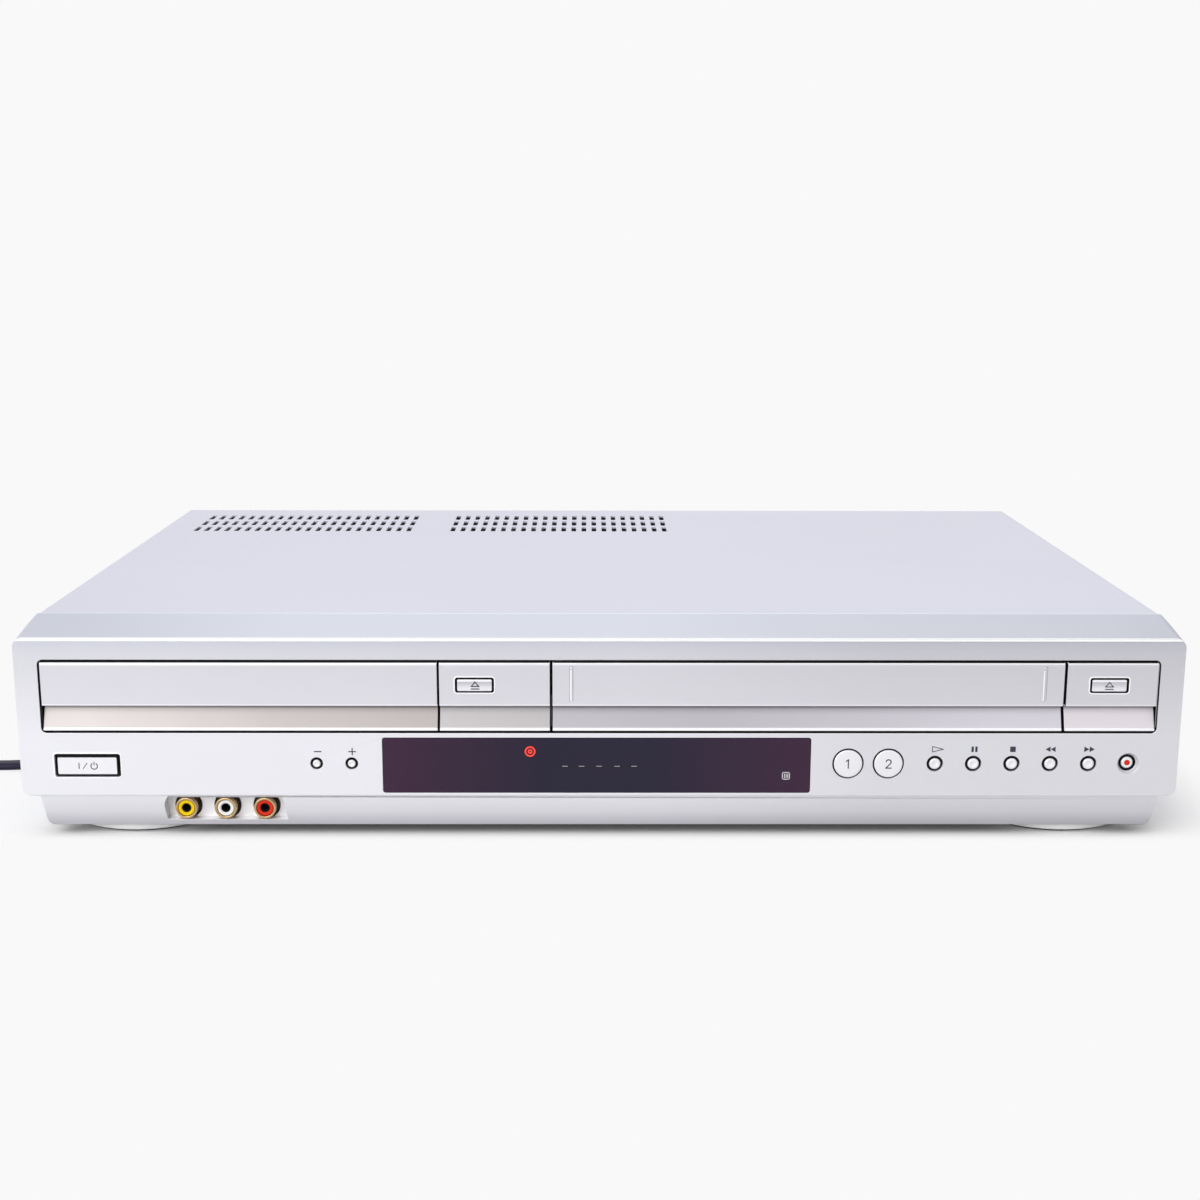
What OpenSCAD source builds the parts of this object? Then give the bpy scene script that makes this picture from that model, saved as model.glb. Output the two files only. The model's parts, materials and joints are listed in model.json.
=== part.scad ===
// Combined disc player and video cassette recorder with a disc tray, a cassette door and front buttons.
// Millimetres. The origin is under the middle of the case, on the floor; -Y is the front, +Z is up.

/* [Case] */
// Width of the front bezel
body_w = 430; // [424:1:450]
// Height of the cover's top above the floor
body_h = 82; // [80:1:95]
// Depth from the bezel's front to the back of the cover
case_d = 270; // [262:1:310]
// Depth of the front bezel
bezel_d = 23; // [21:0.5:26]
// How far the cover's sides lie inside the bezel's
cover_inset = 3; // [2:0.5:4]
// Fall of the bezel's top from the cover to the front edge
top_fall = 4.4; // [3:0.2:6]
// Wall of the plastic front
bezel_wall = 2; // [1.8:0.1:2.4]
// Thickness of the steel sheet
sheet_t = 0.8; // [0.6:0.1:1.2]
// Radius of the bezel's four outer corners
corner_r = 3.5; // [2:0.5:5]
// How far each side of the bezel draws in towards the cover
bezel_draft = 2.2; // [1:0.1:2.6]
// Clear height under the case
foot_h = 4.7; // [4:0.1:6]

/* [Plinth] */
// Height of the lower edge of the upper front
lip_z = 17.1; // [17:0.1:18]
// Width of the plinth at its top
plinth_top_w = 417.6; // [410:0.2:422]
// Width of the plinth at its foot
plinth_foot_w = 414.6; // [404:0.2:416]
// How far the plinth's top lies behind the front
plinth_step = 1.2; // [0.6:0.2:2]
// How far the plinth's foot lies behind the front
plinth_sweep = 4.2; // [3:0.2:8]
// Radius of the plinth's two lower corners
plinth_corner_r = 2.4; // [1:0.2:3]

/* [Door row] */
// Left end of the row of doors
row_left = -206.4; // [-208:0.1:-206]
// Right end of the row of doors
row_right = 206.2; // [206:0.1:208]
// Height of the row's lower edge
row_z = 41.7; // [41.5:0.1:43]
// Height of the row's opening
row_h = 27.9; // [27.4:0.1:28.4]
// Gap round the tray's door and the trim panels
door_gap = 0.8; // [0.6:0.1:1]
// Gap at each end of the cassette door
cassette_gap = 1; // [0.8:0.1:1.2]
// Thickness of the doors and trim panels
door_t = 5.5; // [5:0.1:6]
// Width of the disc tray's door
tray_door_w = 145.4; // [144:0.2:147]
// Width of the cassette door
cassette_door_w = 188.6; // [188.2:0.1:189.6]
// Width of the trim panel between the doors
centre_trim_w = 40.7; // [38:0.1:42]
// Height of the sloping band at the foot of the doors
band_h = 9.1; // [7:0.1:10]
// Depth of the step above the band
band_step = 3.2; // [2:0.2:3.4]

/* [Buttons] */
// Travel of every button
press = 0.8; // [0.5:0.1:1]
// How far the round caps stand out of the front
cap_proud = 0.4; // [0.2:0.1:0.8]
// Radius of the two channel buttons' holes
channel_hole_r = 2.35; // [2:0.05:2.8]
// Radius of the transport buttons' holes
transport_hole_r = 3.05; // [2.6:0.05:3.6]
// Radius of the record button's hole
record_hole_r = 3.15; // [2.6:0.05:3.3]
// Radius of the dish that the record button stands in
record_dish_r = 4.1; // [3.8:0.05:4.6]
// Depth of that dish
record_dish_d = 1.7; // [1:0.1:2.4]
// Radius of the two select buttons' holes
select_hole_r = 5.85; // [5.4:0.05:6.6]
// Gap round a small cap
cap_gap = 0.6; // [0.3:0.05:0.7]
// Gap round a select button's cap
select_gap = 0.4; // [0.3:0.05:0.6]
// Height of the round buttons' middles
button_z = 30; // [29:0.5:31]
// Distance between two transport buttons
transport_pitch = 14.3; // [13:0.05:14.4]
// Place of the play button
play_x = 124.4; // [122:0.2:126]
// Width of the power button's opening
power_w = 24.4; // [22:0.2:26]
// Height of the power button's opening
power_h = 9; // [8:0.2:10]
// Width of the eject buttons' openings
eject_w = 14.4; // [12:0.2:16]
// Height of the eject buttons' openings
eject_h = 5.8; // [4.8:0.2:6]

/* [Display] */
// Left end of the display window
window_left = -80.9; // [-84:0.1:-78]
// Width of the display window
window_w = 159.1; // [150:0.1:160]
// Height of the window's lower edge
window_z = 18.6; // [18.4:0.1:19]
// Height of the display window
window_h = 21.4; // [20:0.2:21.6]

/* [Jacks] */
// Outer radius of a jack's metal barrel
barrel_r = 4.15; // [4.1:0.05:4.2]
// Radius of the hole for a plug's pin
pin_hole_r = 1.65; // [1.6:0.05:1.75]
// Distance between two front jacks
front_jack_pitch = 14.7; // [14:0.1:15]
// Place of the middle front jack
front_jack_x = -140.4; // [-142:0.2:-138]
// Height of the front jacks
front_jack_z = 11.6; // [11.5:0.1:11.9]
// How far the rear jacks stand out of the case
jack_out = 9; // [8:0.5:10]
// Distance between two rear jacks
rear_jack_pitch = 17; // [15:0.5:18]
// Place of the leftmost column of rear jacks
rear_jack_x = 20; // [16:1:30]
// Height of the lower row of rear jacks
rear_jack_z = 26; // [24:1:28]
// Thread radius of the antenna sockets
antenna_r = 4.75; // [4.7:0.05:4.8]

/* [Vents] */
// Width of one vent slot
slot_w = 2.3; // [1.8:0.1:2.8]
// Length of one vent slot
slot_l = 12.5; // [10:0.5:14]
// Distance between two slots in a row
slot_pitch = 4.9; // [4.2:0.1:5]
// Distance between two rows of slots
slot_row_pitch = 17; // [16:0.5:18]

/* [Disc loader] */
// Width of the tray
tray_w = 134; // [130:0.5:135]
// Length of the tray behind its door
tray_l = 164; // [160:1:168]
// Height of the tray's underside
tray_z = 50; // [49.5:0.5:51]
// How far the tray opens
tray_travel = 135; // [120:1:137]
// Radius of the disc's seat
disc_r = 60.6; // [60.2:0.1:61]
// Teeth of the tray's gear
gear_teeth = 20; // [18:1:22]
// Travel of the optical pickup
pickup_travel = 34; // [30:1:35]

/* [Cassette deck] */
// Width inside the cassette carriage
carriage_w = 189.1; // [188.6:0.1:189.6]
// Length of the cassette carriage
carriage_l = 64; // [56:1:66]
// How far the carriage goes in
carriage_in = 55; // [45:1:56]
// How far the carriage goes down
carriage_down = 13.5; // [12:0.5:14]
// Radius of the head drum
drum_r = 31; // [30:0.5:31]
// Distance between the two reels
reel_pitch = 93; // [90:0.5:94]

/* [Power cord] */
// Width of the flat cord
cord_w = 7; // [6.4:0.2:7.4]
// Thickness of the flat cord
cord_t = 3.4; // [3:0.2:3.6]
// Outer radius of the coil
coil_r = 46; // [42:1:48]
// How far the strain relief stands out behind the case
relief_l = 26; // [20:1:36]

/* [Hidden] */
$fn = 48;
e = 0.5;
front_y = -(case_d + jack_out - cap_proud) / 2;
half_w = body_w / 2;
cover_x = half_w - cover_inset;
floor_z = foot_h + sheet_t;
chassis_flange_z = floor_z + 12;
cover_in_x = cover_x - sheet_t;
cover_in_z = body_h - sheet_t;
slope = atan(top_fall / bezel_d);
edge_r = 1.4;

// Front wall, seen along X as [depth, height].
front_top_z = body_h - top_fall;
edge_z = front_top_z + edge_r * tan(slope) - edge_r / cos(slope);
row_top_z = row_z + row_h;

// Doors and trims, left to right.
door_z0 = row_z + door_gap;
door_z1 = row_top_z - 0.7;
tray_door_x0 = row_left + door_gap;
tray_door_x1 = tray_door_x0 + tray_door_w;
centre_trim_x0 = tray_door_x1 + door_gap;
centre_trim_x1 = centre_trim_x0 + centre_trim_w;
cassette_x0 = centre_trim_x1 + cassette_gap;
cassette_x1 = cassette_x0 + cassette_door_w;
right_trim_x0 = cassette_x1 + cassette_gap;
right_trim_x1 = row_right - door_gap;
backing_t = 1.6;

// Cassette door's hinge.
hinge_y = bezel_wall + 2.1;
hinge_z = row_top_z + 3.2;
hinge_r = 1;
running = 0.05;
ear_r = 1.8;
ear_w = 3;
lug_w = 3;
lug_gap = 0.8;

// Switch board behind the front, and the buttons that reach it.
board_t = 1.6;
board_y = 16;
board_z0 = lip_z - 9.2;
board_z1 = row_z - 2.4;
switch_h = 3.5;
stem_end_y = board_y - switch_h - press - 0.1;
stem_r = 1.5;
flange_t = 1;
eject_z = row_z + 18.4;
eject_tab_z = eject_z + 5;
left_eject_x = centre_trim_x0 + 13;
right_eject_x = right_trim_x0 + 15.7;
power_x = -190.1;
power_z = 29.2;
channel_x = -98.8;
channel_pitch = 13;
channel_xs = [channel_x - channel_pitch / 2, channel_x + channel_pitch / 2];
select_x = 99.6;
record_x = play_x + 5 * transport_pitch + 0.6;
select_pitch = 15;
select_xs = [select_x - select_pitch / 2, select_x + select_pitch / 2];
transport_xs = [for (i = [0:4]) play_x + i * transport_pitch];

// Front jack bay.
front_jack_xs = [for (i = [-1:1]) front_jack_x + i * front_jack_pitch];
bay_z0 = front_jack_z - 4.5;
bay_z1 = lip_z - 0.1;
bay_y = 7;
bay_arc_r = 6;
bay_arc_z = front_jack_z + 1;
bay_side = 7.8;
bay_taper = 0.7;
insert_r = barrel_r - 1.1;
jack_gap = 1;
front_block_y = bay_y + bezel_wall;
bay_wall = 1.6;

// Rear.
panel_y = case_d - 2 * sheet_t;
flange_h = 9;
rear_rows = [rear_jack_z, rear_jack_z + 18];
screw_r = 1.5;
screw_gap = 0.1;
head_r = 3.4;
head_t = 1.8;
side_screw_z = floor_z + 6;
side_screw_y = [bezel_d + 22, case_d - 34];
rear_screw_x = [-cover_x + 22, 0, cover_x - 22];
rear_screw_z = body_h - flange_h / 2 - 0.6;
antenna_x = rear_jack_x - 62;
antenna_zs = [rear_jack_z, rear_jack_z + 22];
antenna_shank_r = antenna_r - 0.4;
antenna_nut_r = antenna_r + 1.7;
antenna_nut_y1 = case_d - sheet_t + 2;
antenna_pin_r = 0.8;
tuner_half = 14;
tuner_l = 58;
tuner_z1 = antenna_zs[1] + 12;
relief_x = -cover_x + 24;
relief_z = floor_z + 14;
relief_r = 6;
relief_flange_r = relief_r + 1.6;
relief_flange_t = 2.5;
relief_tip_r = cord_w / 2 + 0.6;
relief_y1 = case_d + relief_l;

// Boards on the chassis.
board_z = floor_z + 5.2;
board_top_z = board_z + board_t;
power_board_x0 = -cover_in_x + 6;
power_board_x1 = -104;
main_board_x0 = -100;
main_board_x1 = cover_in_x - 6;
boards_y0 = bezel_d + 7;
boards_y1 = panel_y - 4;
standoff_r = 3;
leg_r = 3.5;
leg_gap = 1;

// Disc loader.
tray_x = (tray_door_x0 + tray_door_x1) / 2;
tray_y0 = door_t;
tray_y1 = door_t + tray_l;
tray_t = 4;
tray_rim_z = tray_z + 6;
disc_y = tray_y0 + disc_r + 8;
spindle_slot = 20;
loader_wall = 2;
loader_half = tray_w / 2 + 2.5;
loader_y0 = bezel_d + 3;
loader_y1 = tray_y1 + 24;
loader_z0 = 34;
loader_z1 = tray_rim_z + 8;
ledge_w = 4;
gear_module = 1;
gear_pitch_r = gear_teeth * gear_module / 2;
gear_y = loader_y0 + 16;
rack_x = tray_x + 52;
gear_x = rack_x - gear_pitch_r;
rack_z0 = tray_z - 3.6;
rack_y0 = gear_y - 6;
tooth_w = 1.18;
tooth_out = 0.9;
tooth_in = 1.15;
gear_post_r = 1.5;
bridge_z = tray_rim_z + 4;
traverse_half = 32;
traverse_y0 = disc_y - 18;
traverse_z = loader_z0 + 2.6;
rod_r = 1.5;
rod_z = traverse_z + 7;
rod_dx = 20;
rod_y0 = disc_y + 16;
pickup_l = 22;
pickup_y0 = rod_y0 + 3;
rod_y1 = pickup_y0 + pickup_l + pickup_travel + 1;
traverse_y1 = rod_y1 + 6;
motor_r = 13;
motor_z1 = tray_z - 1.4;
turntable_z0 = motor_z1 + 0.4;
turntable_z1 = tray_z + 4.4;
traverse_pin_r = 1.8;
traverse_pin_y = traverse_y1 + 4;
traverse_pin_z = traverse_z + 2.3;

// Cassette deck.
deck_x = (cassette_x0 + cassette_x1) / 2;
deck_z = 26;
deck_t = 1.2;
deck_top = deck_z + deck_t;
deck_y0 = bezel_d + 13;
deck_l = 188;
deck_y1 = deck_y0 + deck_l;
carriage_y0 = deck_y0 + 0.6;
carriage_y1 = carriage_y0 + carriage_l;
carriage_z0 = row_z - 0.2;
carriage_z1 = row_top_z + 1.2;
carriage_wall = 0.8;
carriage_out = carriage_w / 2 + carriage_wall;
slider_in = carriage_out + 0.5;
slider_out = slider_in + 0.8;
bracket_in = slider_out + 0.4;
bracket_t = 1;
bracket_out = bracket_in + bracket_t;
bracket_z1 = carriage_z1 + 4.2;
seat_gap = 0.05;
bracket_y1 = carriage_y1 + carriage_in + 6;
flange_in = 22;
slider_y0 = carriage_y0 + 14;
slider_l = 40;
guide_pin_r = 1.4;
guide_slot_r = guide_pin_r + 0.3;
guide_z = (carriage_z0 + carriage_z1) / 2 + 4;
slider_pins_y = [slider_y0 + 7, slider_y0 + slider_l - 7];
drop_pins_y = [slider_y0 + 14, slider_y0 + slider_l - 14];
drop_z = carriage_z0 + 19;
reel_back = 57;
reel_y = deck_y0 + reel_back;
reel_table_r = 14;
reel_spindle_r = 4.6;
reel_post_r = 1.5;
reel_z0 = deck_top + 0.4;
reel_top_z = deck_top + 11;
drum_y = deck_y0 + carriage_l + carriage_in + drum_r + 5;
lower_drum_h = 18;
upper_drum_h = 12.4;
drum_split_z = deck_top + lower_drum_h;
drum_top_z = drum_split_z + upper_drum_h;
drum_shaft_r = 3;
drum_hole_r = 3.5;
drum_hole_at = 18;
capstan_side = 62;
capstan_back = 22;
capstan_x = deck_x + capstan_side;
capstan_y = drum_y - capstan_back;
capstan_r = 2;
flywheel_r = 20;
flywheel_z0 = board_top_z + 2.4;
flywheel_z1 = deck_z - 3.2;
capstan_h = 26;
capstan_top_z = deck_top + capstan_h;
pinch_x = capstan_x + 10;
pinch_y = capstan_y + 12;
pinch_r = 6.5;
pinch_post_r = 1.2;
pinch_z0 = deck_top + 3;
pinch_z1 = deck_top + 19;

// Power cord: from the strain relief round the back corner, along the case's left side and out to the left.
cord_z = cord_t / 2 + 0.1;
coil_x = -324;
coil_y = 128.5;
coil_in_r = coil_r - 15;
coil_h = 10.8;
CORD = [
    [relief_x, relief_y1, relief_z], [relief_x, relief_y1 + 8, 19.2], [-188.5, 312, 17.8], [-190, 320, 14.8],
    [-193, 328, 10.8], [-197.5, 335, 7], [-203.5, 340.5, 4], [-211, 344, 2.3], [-219, 345.2, cord_z],
    [-227, 344, cord_z], [-234.5, 340.3, cord_z], [-240.5, 334.5, cord_z], [-244.8, 327, cord_z],
    [-247, 318.5, cord_z], [-247.5, 308, cord_z], [-246.5, 292, cord_z], [-243.5, 272, cord_z],
    [-239.5, 250, cord_z], [-235, 228, cord_z], [-230.5, 206, cord_z], [-226.5, 184, cord_z],
    [-223.5, 162, cord_z], [-222.2, 146, cord_z], [-221.8, 132, cord_z], [-222.4, 118, cord_z],
    [-225, 105, cord_z], [-230.5, 95, cord_z], [-239, 88.4, cord_z], [-250, 86, cord_z],
    [-264, 86, cord_z], [-278, 86, cord_z], [-292, 86, cord_z], [-306, 86, cord_z]
];
coil_gap = 0.1;
plug_corner_r = 4;
plug_x = coil_x - coil_r + cord_w / 2;
plug_z0 = 0.2;
plug_l = 30;
plug_w = 24;
plug_dx = coil_x - plug_x - plug_w / 2 + plug_corner_r;
plug_y0 = coil_y + sqrt(pow(coil_r + plug_corner_r + coil_gap, 2) - pow(plug_dx, 2)) - plug_corner_r;
plug_h = 16;
blade_l = 17;
blade_w = 6.4;
blade_t = 1.5;
blade_pitch = 12.7;

// Moves what is drawn with Y counted from the bezel's front to its place.
module at_front() {
    translate([0, front_y, 0]) children();
}

module block(x0, x1, y0, y1, z0, z1) {
    translate([x0, y0, z0]) cube([x1 - x0, y1 - y0, z1 - z0]);
}

// Extrudes an outline of [x, z] from y0 to y1.
module along_y(y0, y1) {
    translate([0, y1, 0]) rotate([90, 0, 0]) linear_extrude(y1 - y0) children();
}

// Extrudes an outline of [y, z] from x0 to x1.
module along_x(x0, x1) {
    translate([x0, 0, 0]) rotate([90, 0, 90]) linear_extrude(x1 - x0) children();
}

module rod_y(x, z, r, y0, y1) {
    translate([x, y0, z]) rotate([-90, 0, 0]) cylinder(r = r, h = y1 - y0);
}

module rod_x(y, z, r, x0, x1) {
    translate([x0, y, z]) rotate([0, 90, 0]) cylinder(r = r, h = x1 - x0);
}

module rod_z(x, y, r, z0, z1) {
    translate([x, y, z0]) cylinder(r = r, h = z1 - z0);
}

module rounded(x0, x1, z0, z1, r) {
    translate([x0 + r, z0]) square([x1 - x0 - 2 * r, z1 - z0]);
    translate([x0, z0 + r]) square([x1 - x0, z1 - z0 - 2 * r]);
    for (x = [x0 + r, x1 - r], z = [z0 + r, z1 - r]) translate([x, z]) circle(r);
}

function arc(cx, cz, r, a0, a1, n) = [
    for (i = [0:n]) let (a = a0 + (a1 - a0) * i / n) [cx + r * cos(a), cz + r * sin(a)]
];

// Depth of the plinth's face at height z: it sweeps back in a quarter wave towards its foot.
function plinth_y(z) = let (share = (z - foot_h) / (lip_z - foot_h))
    plinth_step + (plinth_sweep - plinth_step) * (1 - sin(90 * share));

plinth_zs = [for (i = [0:10]) foot_h + (lip_z - foot_h) * i / 10];

module bezel_upper() {
    intersection() {
        along_x(-half_w, half_w) polygon(concat(
            [[bezel_d, lip_z], [0.8, lip_z], [0, lip_z + 0.8]],
            arc(edge_r, edge_z, edge_r, 180, 90 + slope, 8),
            [[bezel_d, body_h]]
        ));
        along_y(0, bezel_d) rounded(-half_w, half_w, lip_z, body_h + 20, corner_r);
        translate([0, bezel_d, body_h]) rotate([slope, 0, 0]) along_y(-bezel_d - body_h, body_h)
            rounded(-half_w, half_w, -2 * body_h, 0, corner_r);
        linear_extrude(body_h + 1) polygon([
            [-half_w, 0], [half_w, 0], [half_w, 2], [half_w - bezel_draft, bezel_d],
            [bezel_draft - half_w, bezel_d], [-half_w, 2]
        ]);
    }
}

module bezel_plinth() {
    intersection() {
        along_x(-half_w, half_w) polygon(concat(
            [[bezel_d, foot_h]],
            [for (z = plinth_zs) [plinth_y(z), z]],
            [[plinth_step, lip_z + 3], [bezel_d, lip_z + 3]]
        ));
        along_y(0, bezel_d) polygon(concat(
            arc(plinth_corner_r - plinth_foot_w / 2, foot_h + plinth_corner_r, plinth_corner_r, 185, 270, 6),
            arc(plinth_foot_w / 2 - plinth_corner_r, foot_h + plinth_corner_r, plinth_corner_r, -90, -5, 6),
            [[plinth_top_w / 2, lip_z + 3], [-plinth_top_w / 2, lip_z + 3]]
        ));
    }
}

module bezel_hollow() {
    inner_x = half_w - bezel_wall;
    rim_x = cover_in_x - 2;
    rise = bezel_wall / cos(slope);
    along_x(-inner_x, inner_x) polygon([
        [bezel_wall, lip_z + bezel_wall], [bezel_wall, front_top_z - rise],
        [bezel_d - 1.6, body_h - rise - 1.6 * tan(slope)], [bezel_d - 1.6, lip_z + bezel_wall]
    ]);
    block(-rim_x, rim_x, bezel_d - 2, bezel_d + e, lip_z + bezel_wall, cover_in_z - 2);
    along_x(-plinth_foot_w / 2 + bezel_wall, plinth_foot_w / 2 - bezel_wall) polygon(concat(
        [[bezel_d + e, foot_h + bezel_wall], [plinth_y(foot_h + bezel_wall) + bezel_wall,
            foot_h + bezel_wall]],
        [for (z = plinth_zs) if (z > foot_h + bezel_wall + 0.2) [plinth_y(z) + bezel_wall, z]],
        [[plinth_step + bezel_wall, lip_z + bezel_wall + e], [bezel_d + e, lip_z + bezel_wall + e]]
    ));
}

// Plate and shelves behind a trim panel.
module trim_backing(x0, x1, button_x) {
    difference() {
        union() {
            block(x0, x1, door_t, door_t + backing_t, row_z - backing_t, row_top_z + backing_t);
            block(x0, x1, bezel_wall - e, door_t + backing_t, row_z - backing_t, row_z);
            block(x0, x1, bezel_wall - e, door_t + backing_t, row_top_z, row_top_z + backing_t);
        }
        block(button_x - eject_w / 2 + 1, button_x + eject_w / 2 - 1, door_t - e, door_t + backing_t + e,
            eject_z - eject_h / 2 + 0.6, eject_z + eject_h / 2 - 0.6);
    }
}

// The bay's ends are arcs beside the outer jacks, drawn out a little towards the floor of the bay.
module bay_outline(grow) {
    left_x = front_jack_x - front_jack_pitch - bay_side;
    right_x = front_jack_x + front_jack_pitch + bay_side;
    r = bay_arc_r + grow;
    top = asin((bay_z1 + grow - bay_arc_z) / r);
    polygon(concat(
        arc(left_x + bay_arc_r, bay_arc_z, r, 180, 180 - top, 6),
        arc(right_x - bay_arc_r, bay_arc_z, r, top, 0, 6),
        [[right_x + bay_taper + grow, bay_z0 - grow], [left_x + bay_taper - grow, bay_z0 - grow]]
    ));
}

module jack_bay_wall() {
    difference() {
        intersection() {
            along_y(0, front_block_y) bay_outline(bay_wall);
            bezel_plinth();
        }
        along_y(-e, bay_y) bay_outline(0);
        for (x = front_jack_xs) rod_y(x, front_jack_z, barrel_r + jack_gap, bay_y - e, front_block_y + e);
    }
}

board_boss_x = [-150, select_xs[0] - 9.4, select_xs[1] + 9.4];
board_boss_z = row_z - 6;

module hinge_lug(x0) {
    difference() {
        block(x0, x0 + lug_w, bezel_wall - e, hinge_y + 3, row_top_z + lug_gap, hinge_z + 3);
        rod_x(hinge_y, hinge_z, hinge_r + running, x0 - e, x0 + lug_w + e);
    }
}

module front_bezel() {
    color("silver") at_front() {
        difference() {
            union() {
                difference() {
                    union() {
                        bezel_upper();
                        bezel_plinth();
                    }
                    bezel_hollow();
                    along_y(-e, bezel_wall + e) rounded(row_left, row_right, row_z, row_top_z, 2);
                    along_y(-e, bay_y) bay_outline(0);
                }
                jack_bay_wall();
                trim_backing(centre_trim_x0, centre_trim_x1, left_eject_x);
                trim_backing(right_trim_x0, right_trim_x1 + 0.8, right_eject_x);
                hinge_lug(cassette_x0 - 1 - lug_w);
                hinge_lug(cassette_x1 + 1);
                for (x = board_boss_x) rod_y(x, board_boss_z, 2, bezel_wall - e, board_y);
                rod_y(record_x, button_z, record_dish_r + 1, bezel_wall - e, record_dish_d + bezel_wall);
            }
            along_y(-e, bezel_wall + e) {
                rounded(window_left, window_left + window_w, window_z, window_z + window_h, 1);
                rounded(power_x - power_w / 2, power_x + power_w / 2, power_z - power_h / 2,
                    power_z + power_h / 2, 1);
            }
            for (x = channel_xs) rod_y(x, button_z, channel_hole_r, -e, bezel_wall + e);
            for (x = select_xs) rod_y(x, button_z, select_hole_r, -e, bezel_wall + e);
            for (x = transport_xs) rod_y(x, button_z, transport_hole_r, -e, bezel_wall + e);
            rod_y(record_x, button_z, record_hole_r, -e, record_dish_d + bezel_wall + e);
            translate([record_x, 0, button_z]) rotate([-90, 0, 0])
                cylinder(r1 = record_dish_r, r2 = record_hole_r + 0.1, h = record_dish_d);
        }
    }
}

vent_y = case_d - 24 - 2 * slot_row_pitch;
vent_groups = [-194.7, -70.4];
vent_columns = 22;

module top_cover() {
    color("lightsteelblue") at_front() difference() {
        union() {
            translate([0, 0, cover_in_z]) linear_extrude(sheet_t) difference() {
                translate([-cover_x, bezel_d]) square([2 * cover_x, case_d - bezel_d]);
                for (x = vent_groups, i = [0:vent_columns - 1], row = [0:2])
                    translate([x + i * slot_pitch - slot_w / 2, vent_y + row * slot_row_pitch - slot_l / 2])
                        square([slot_w, slot_l]);
            }
            for (s = [-1, 1]) translate([s * (cover_x - sheet_t / 2), 0, 0])
                block(-sheet_t / 2, sheet_t / 2, bezel_d, case_d, foot_h, cover_in_z + sheet_t / 2);
            block(-cover_x, cover_x, case_d - sheet_t, case_d, body_h - flange_h, body_h);
        }
        for (y = side_screw_y) rod_x(y, side_screw_z, screw_r + screw_gap, -half_w, half_w);
        for (x = rear_screw_x) rod_y(x, rear_screw_z, screw_r + screw_gap, case_d - 2, case_d + 1);
    }
}

module board_standoffs(x0, x1, h) {
    for (x = [x0 + 7, x1 - 7], y = [boards_y0 + 26, boards_y1 - 8]) rod_z(x, y, standoff_r, floor_z - 0.1, h);
}

module chassis_base() {
    color("gainsboro") at_front() difference() {
        union() {
            block(-cover_in_x, cover_in_x, bezel_d, panel_y, foot_h, floor_z);
            for (s = [-1, 1]) translate([s * (cover_in_x - sheet_t / 2), 0, 0])
                block(-sheet_t / 2, sheet_t / 2, bezel_d, panel_y, foot_h, chassis_flange_z);
            block(-cover_in_x, cover_in_x, bezel_d, bezel_d + sheet_t, foot_h, chassis_flange_z);
            board_standoffs(power_board_x0, power_board_x1, board_z);
            board_standoffs(main_board_x0, main_board_x1, board_z);
        }
        for (y = side_screw_y) rod_x(y, side_screw_z, screw_r + screw_gap, -half_w, half_w);
    }
}

function rear_jack_places() = [
    for (row = [0, 1], i = [0:5]) if (row == 1 || i < 5) [rear_jack_x + i * rear_jack_pitch, rear_rows[row]]
];

module rear_panel() {
    color("lightgray") at_front() difference() {
        block(-cover_in_x, cover_in_x, panel_y, panel_y + sheet_t, foot_h, cover_in_z);
        for (p = rear_jack_places()) rod_y(p[0], p[1], barrel_r + 0.4, panel_y - e, case_d + e);
        for (z = antenna_zs) rod_y(antenna_x, z, antenna_r + 0.5, panel_y - e, case_d + e);
        rod_y(relief_x, relief_z, relief_r, panel_y - e, case_d + e);
        for (x = rear_screw_x) rod_y(x, rear_screw_z, screw_r + screw_gap, panel_y - e, case_d + e);
    }
}

module cover_screws() {
    color("dimgray") at_front() {
        for (y = side_screw_y, s = [-1, 1]) {
            translate([s > 0 ? cover_x : -cover_x - head_t, 0, 0]) rod_x(y, side_screw_z, head_r, 0, head_t);
            translate([s > 0 ? cover_x - 5 : -cover_x - 0.5, 0, 0]) rod_x(y, side_screw_z, screw_r, 0, 5.5);
        }
        for (x = rear_screw_x) {
            rod_y(x, rear_screw_z, head_r, case_d, case_d + head_t);
            rod_y(x, rear_screw_z, screw_r, case_d - 5, case_d + e);
        }
    }
}

front_foot_r = 33;
foot_x = 176.5;
front_foot_y = 40.5;
pad_t = 1;
rear_foot_r = 14;
rear_foot_y = case_d - 36;

module front_feet() {
    color("silver") at_front() for (s = [-1, 1]) translate([s * foot_x, front_foot_y, 0])
        rotate_extrude($fn = 96) polygon(concat(
            [[0, pad_t], [front_foot_r - 1.6, pad_t]],
            arc(front_foot_r - 1.6, pad_t + 1.6, 1.6, -90, 0, 5),
            [[front_foot_r, foot_h], [0, foot_h]]
        ));
}

module rear_feet() {
    color("black") at_front() for (s = [-1, 1])
        rod_z(s * foot_x, rear_foot_y, rear_foot_r, pad_t, foot_h);
}

module foot_pads() {
    color("black") at_front() for (s = [-1, 1]) {
        rod_z(s * foot_x, front_foot_y, front_foot_r - 3, 0, pad_t);
        rod_z(s * foot_x, rear_foot_y, rear_foot_r - 1, 0, pad_t);
    }
}

window_gap = 0.1;

module display_window() {
    color("midnightblue") at_front() {
        along_y(0.2, bezel_wall + 0.1) rounded(
            window_left + window_gap, window_left + window_w - window_gap,
            window_z + window_gap, window_z + window_h - window_gap, 0.9);
        block(window_left - 1.2, window_left + window_w + 1.2, bezel_wall, bezel_wall + 1.2,
            lip_z + bezel_wall + 0.2, row_z - backing_t - 0.2);
    }
}

// Outline of the doors as [depth, height]: a flat face over a band that slopes out to its lower lip.
band_z = door_z0 + band_h;
door_edge_r = 1.6;

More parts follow.
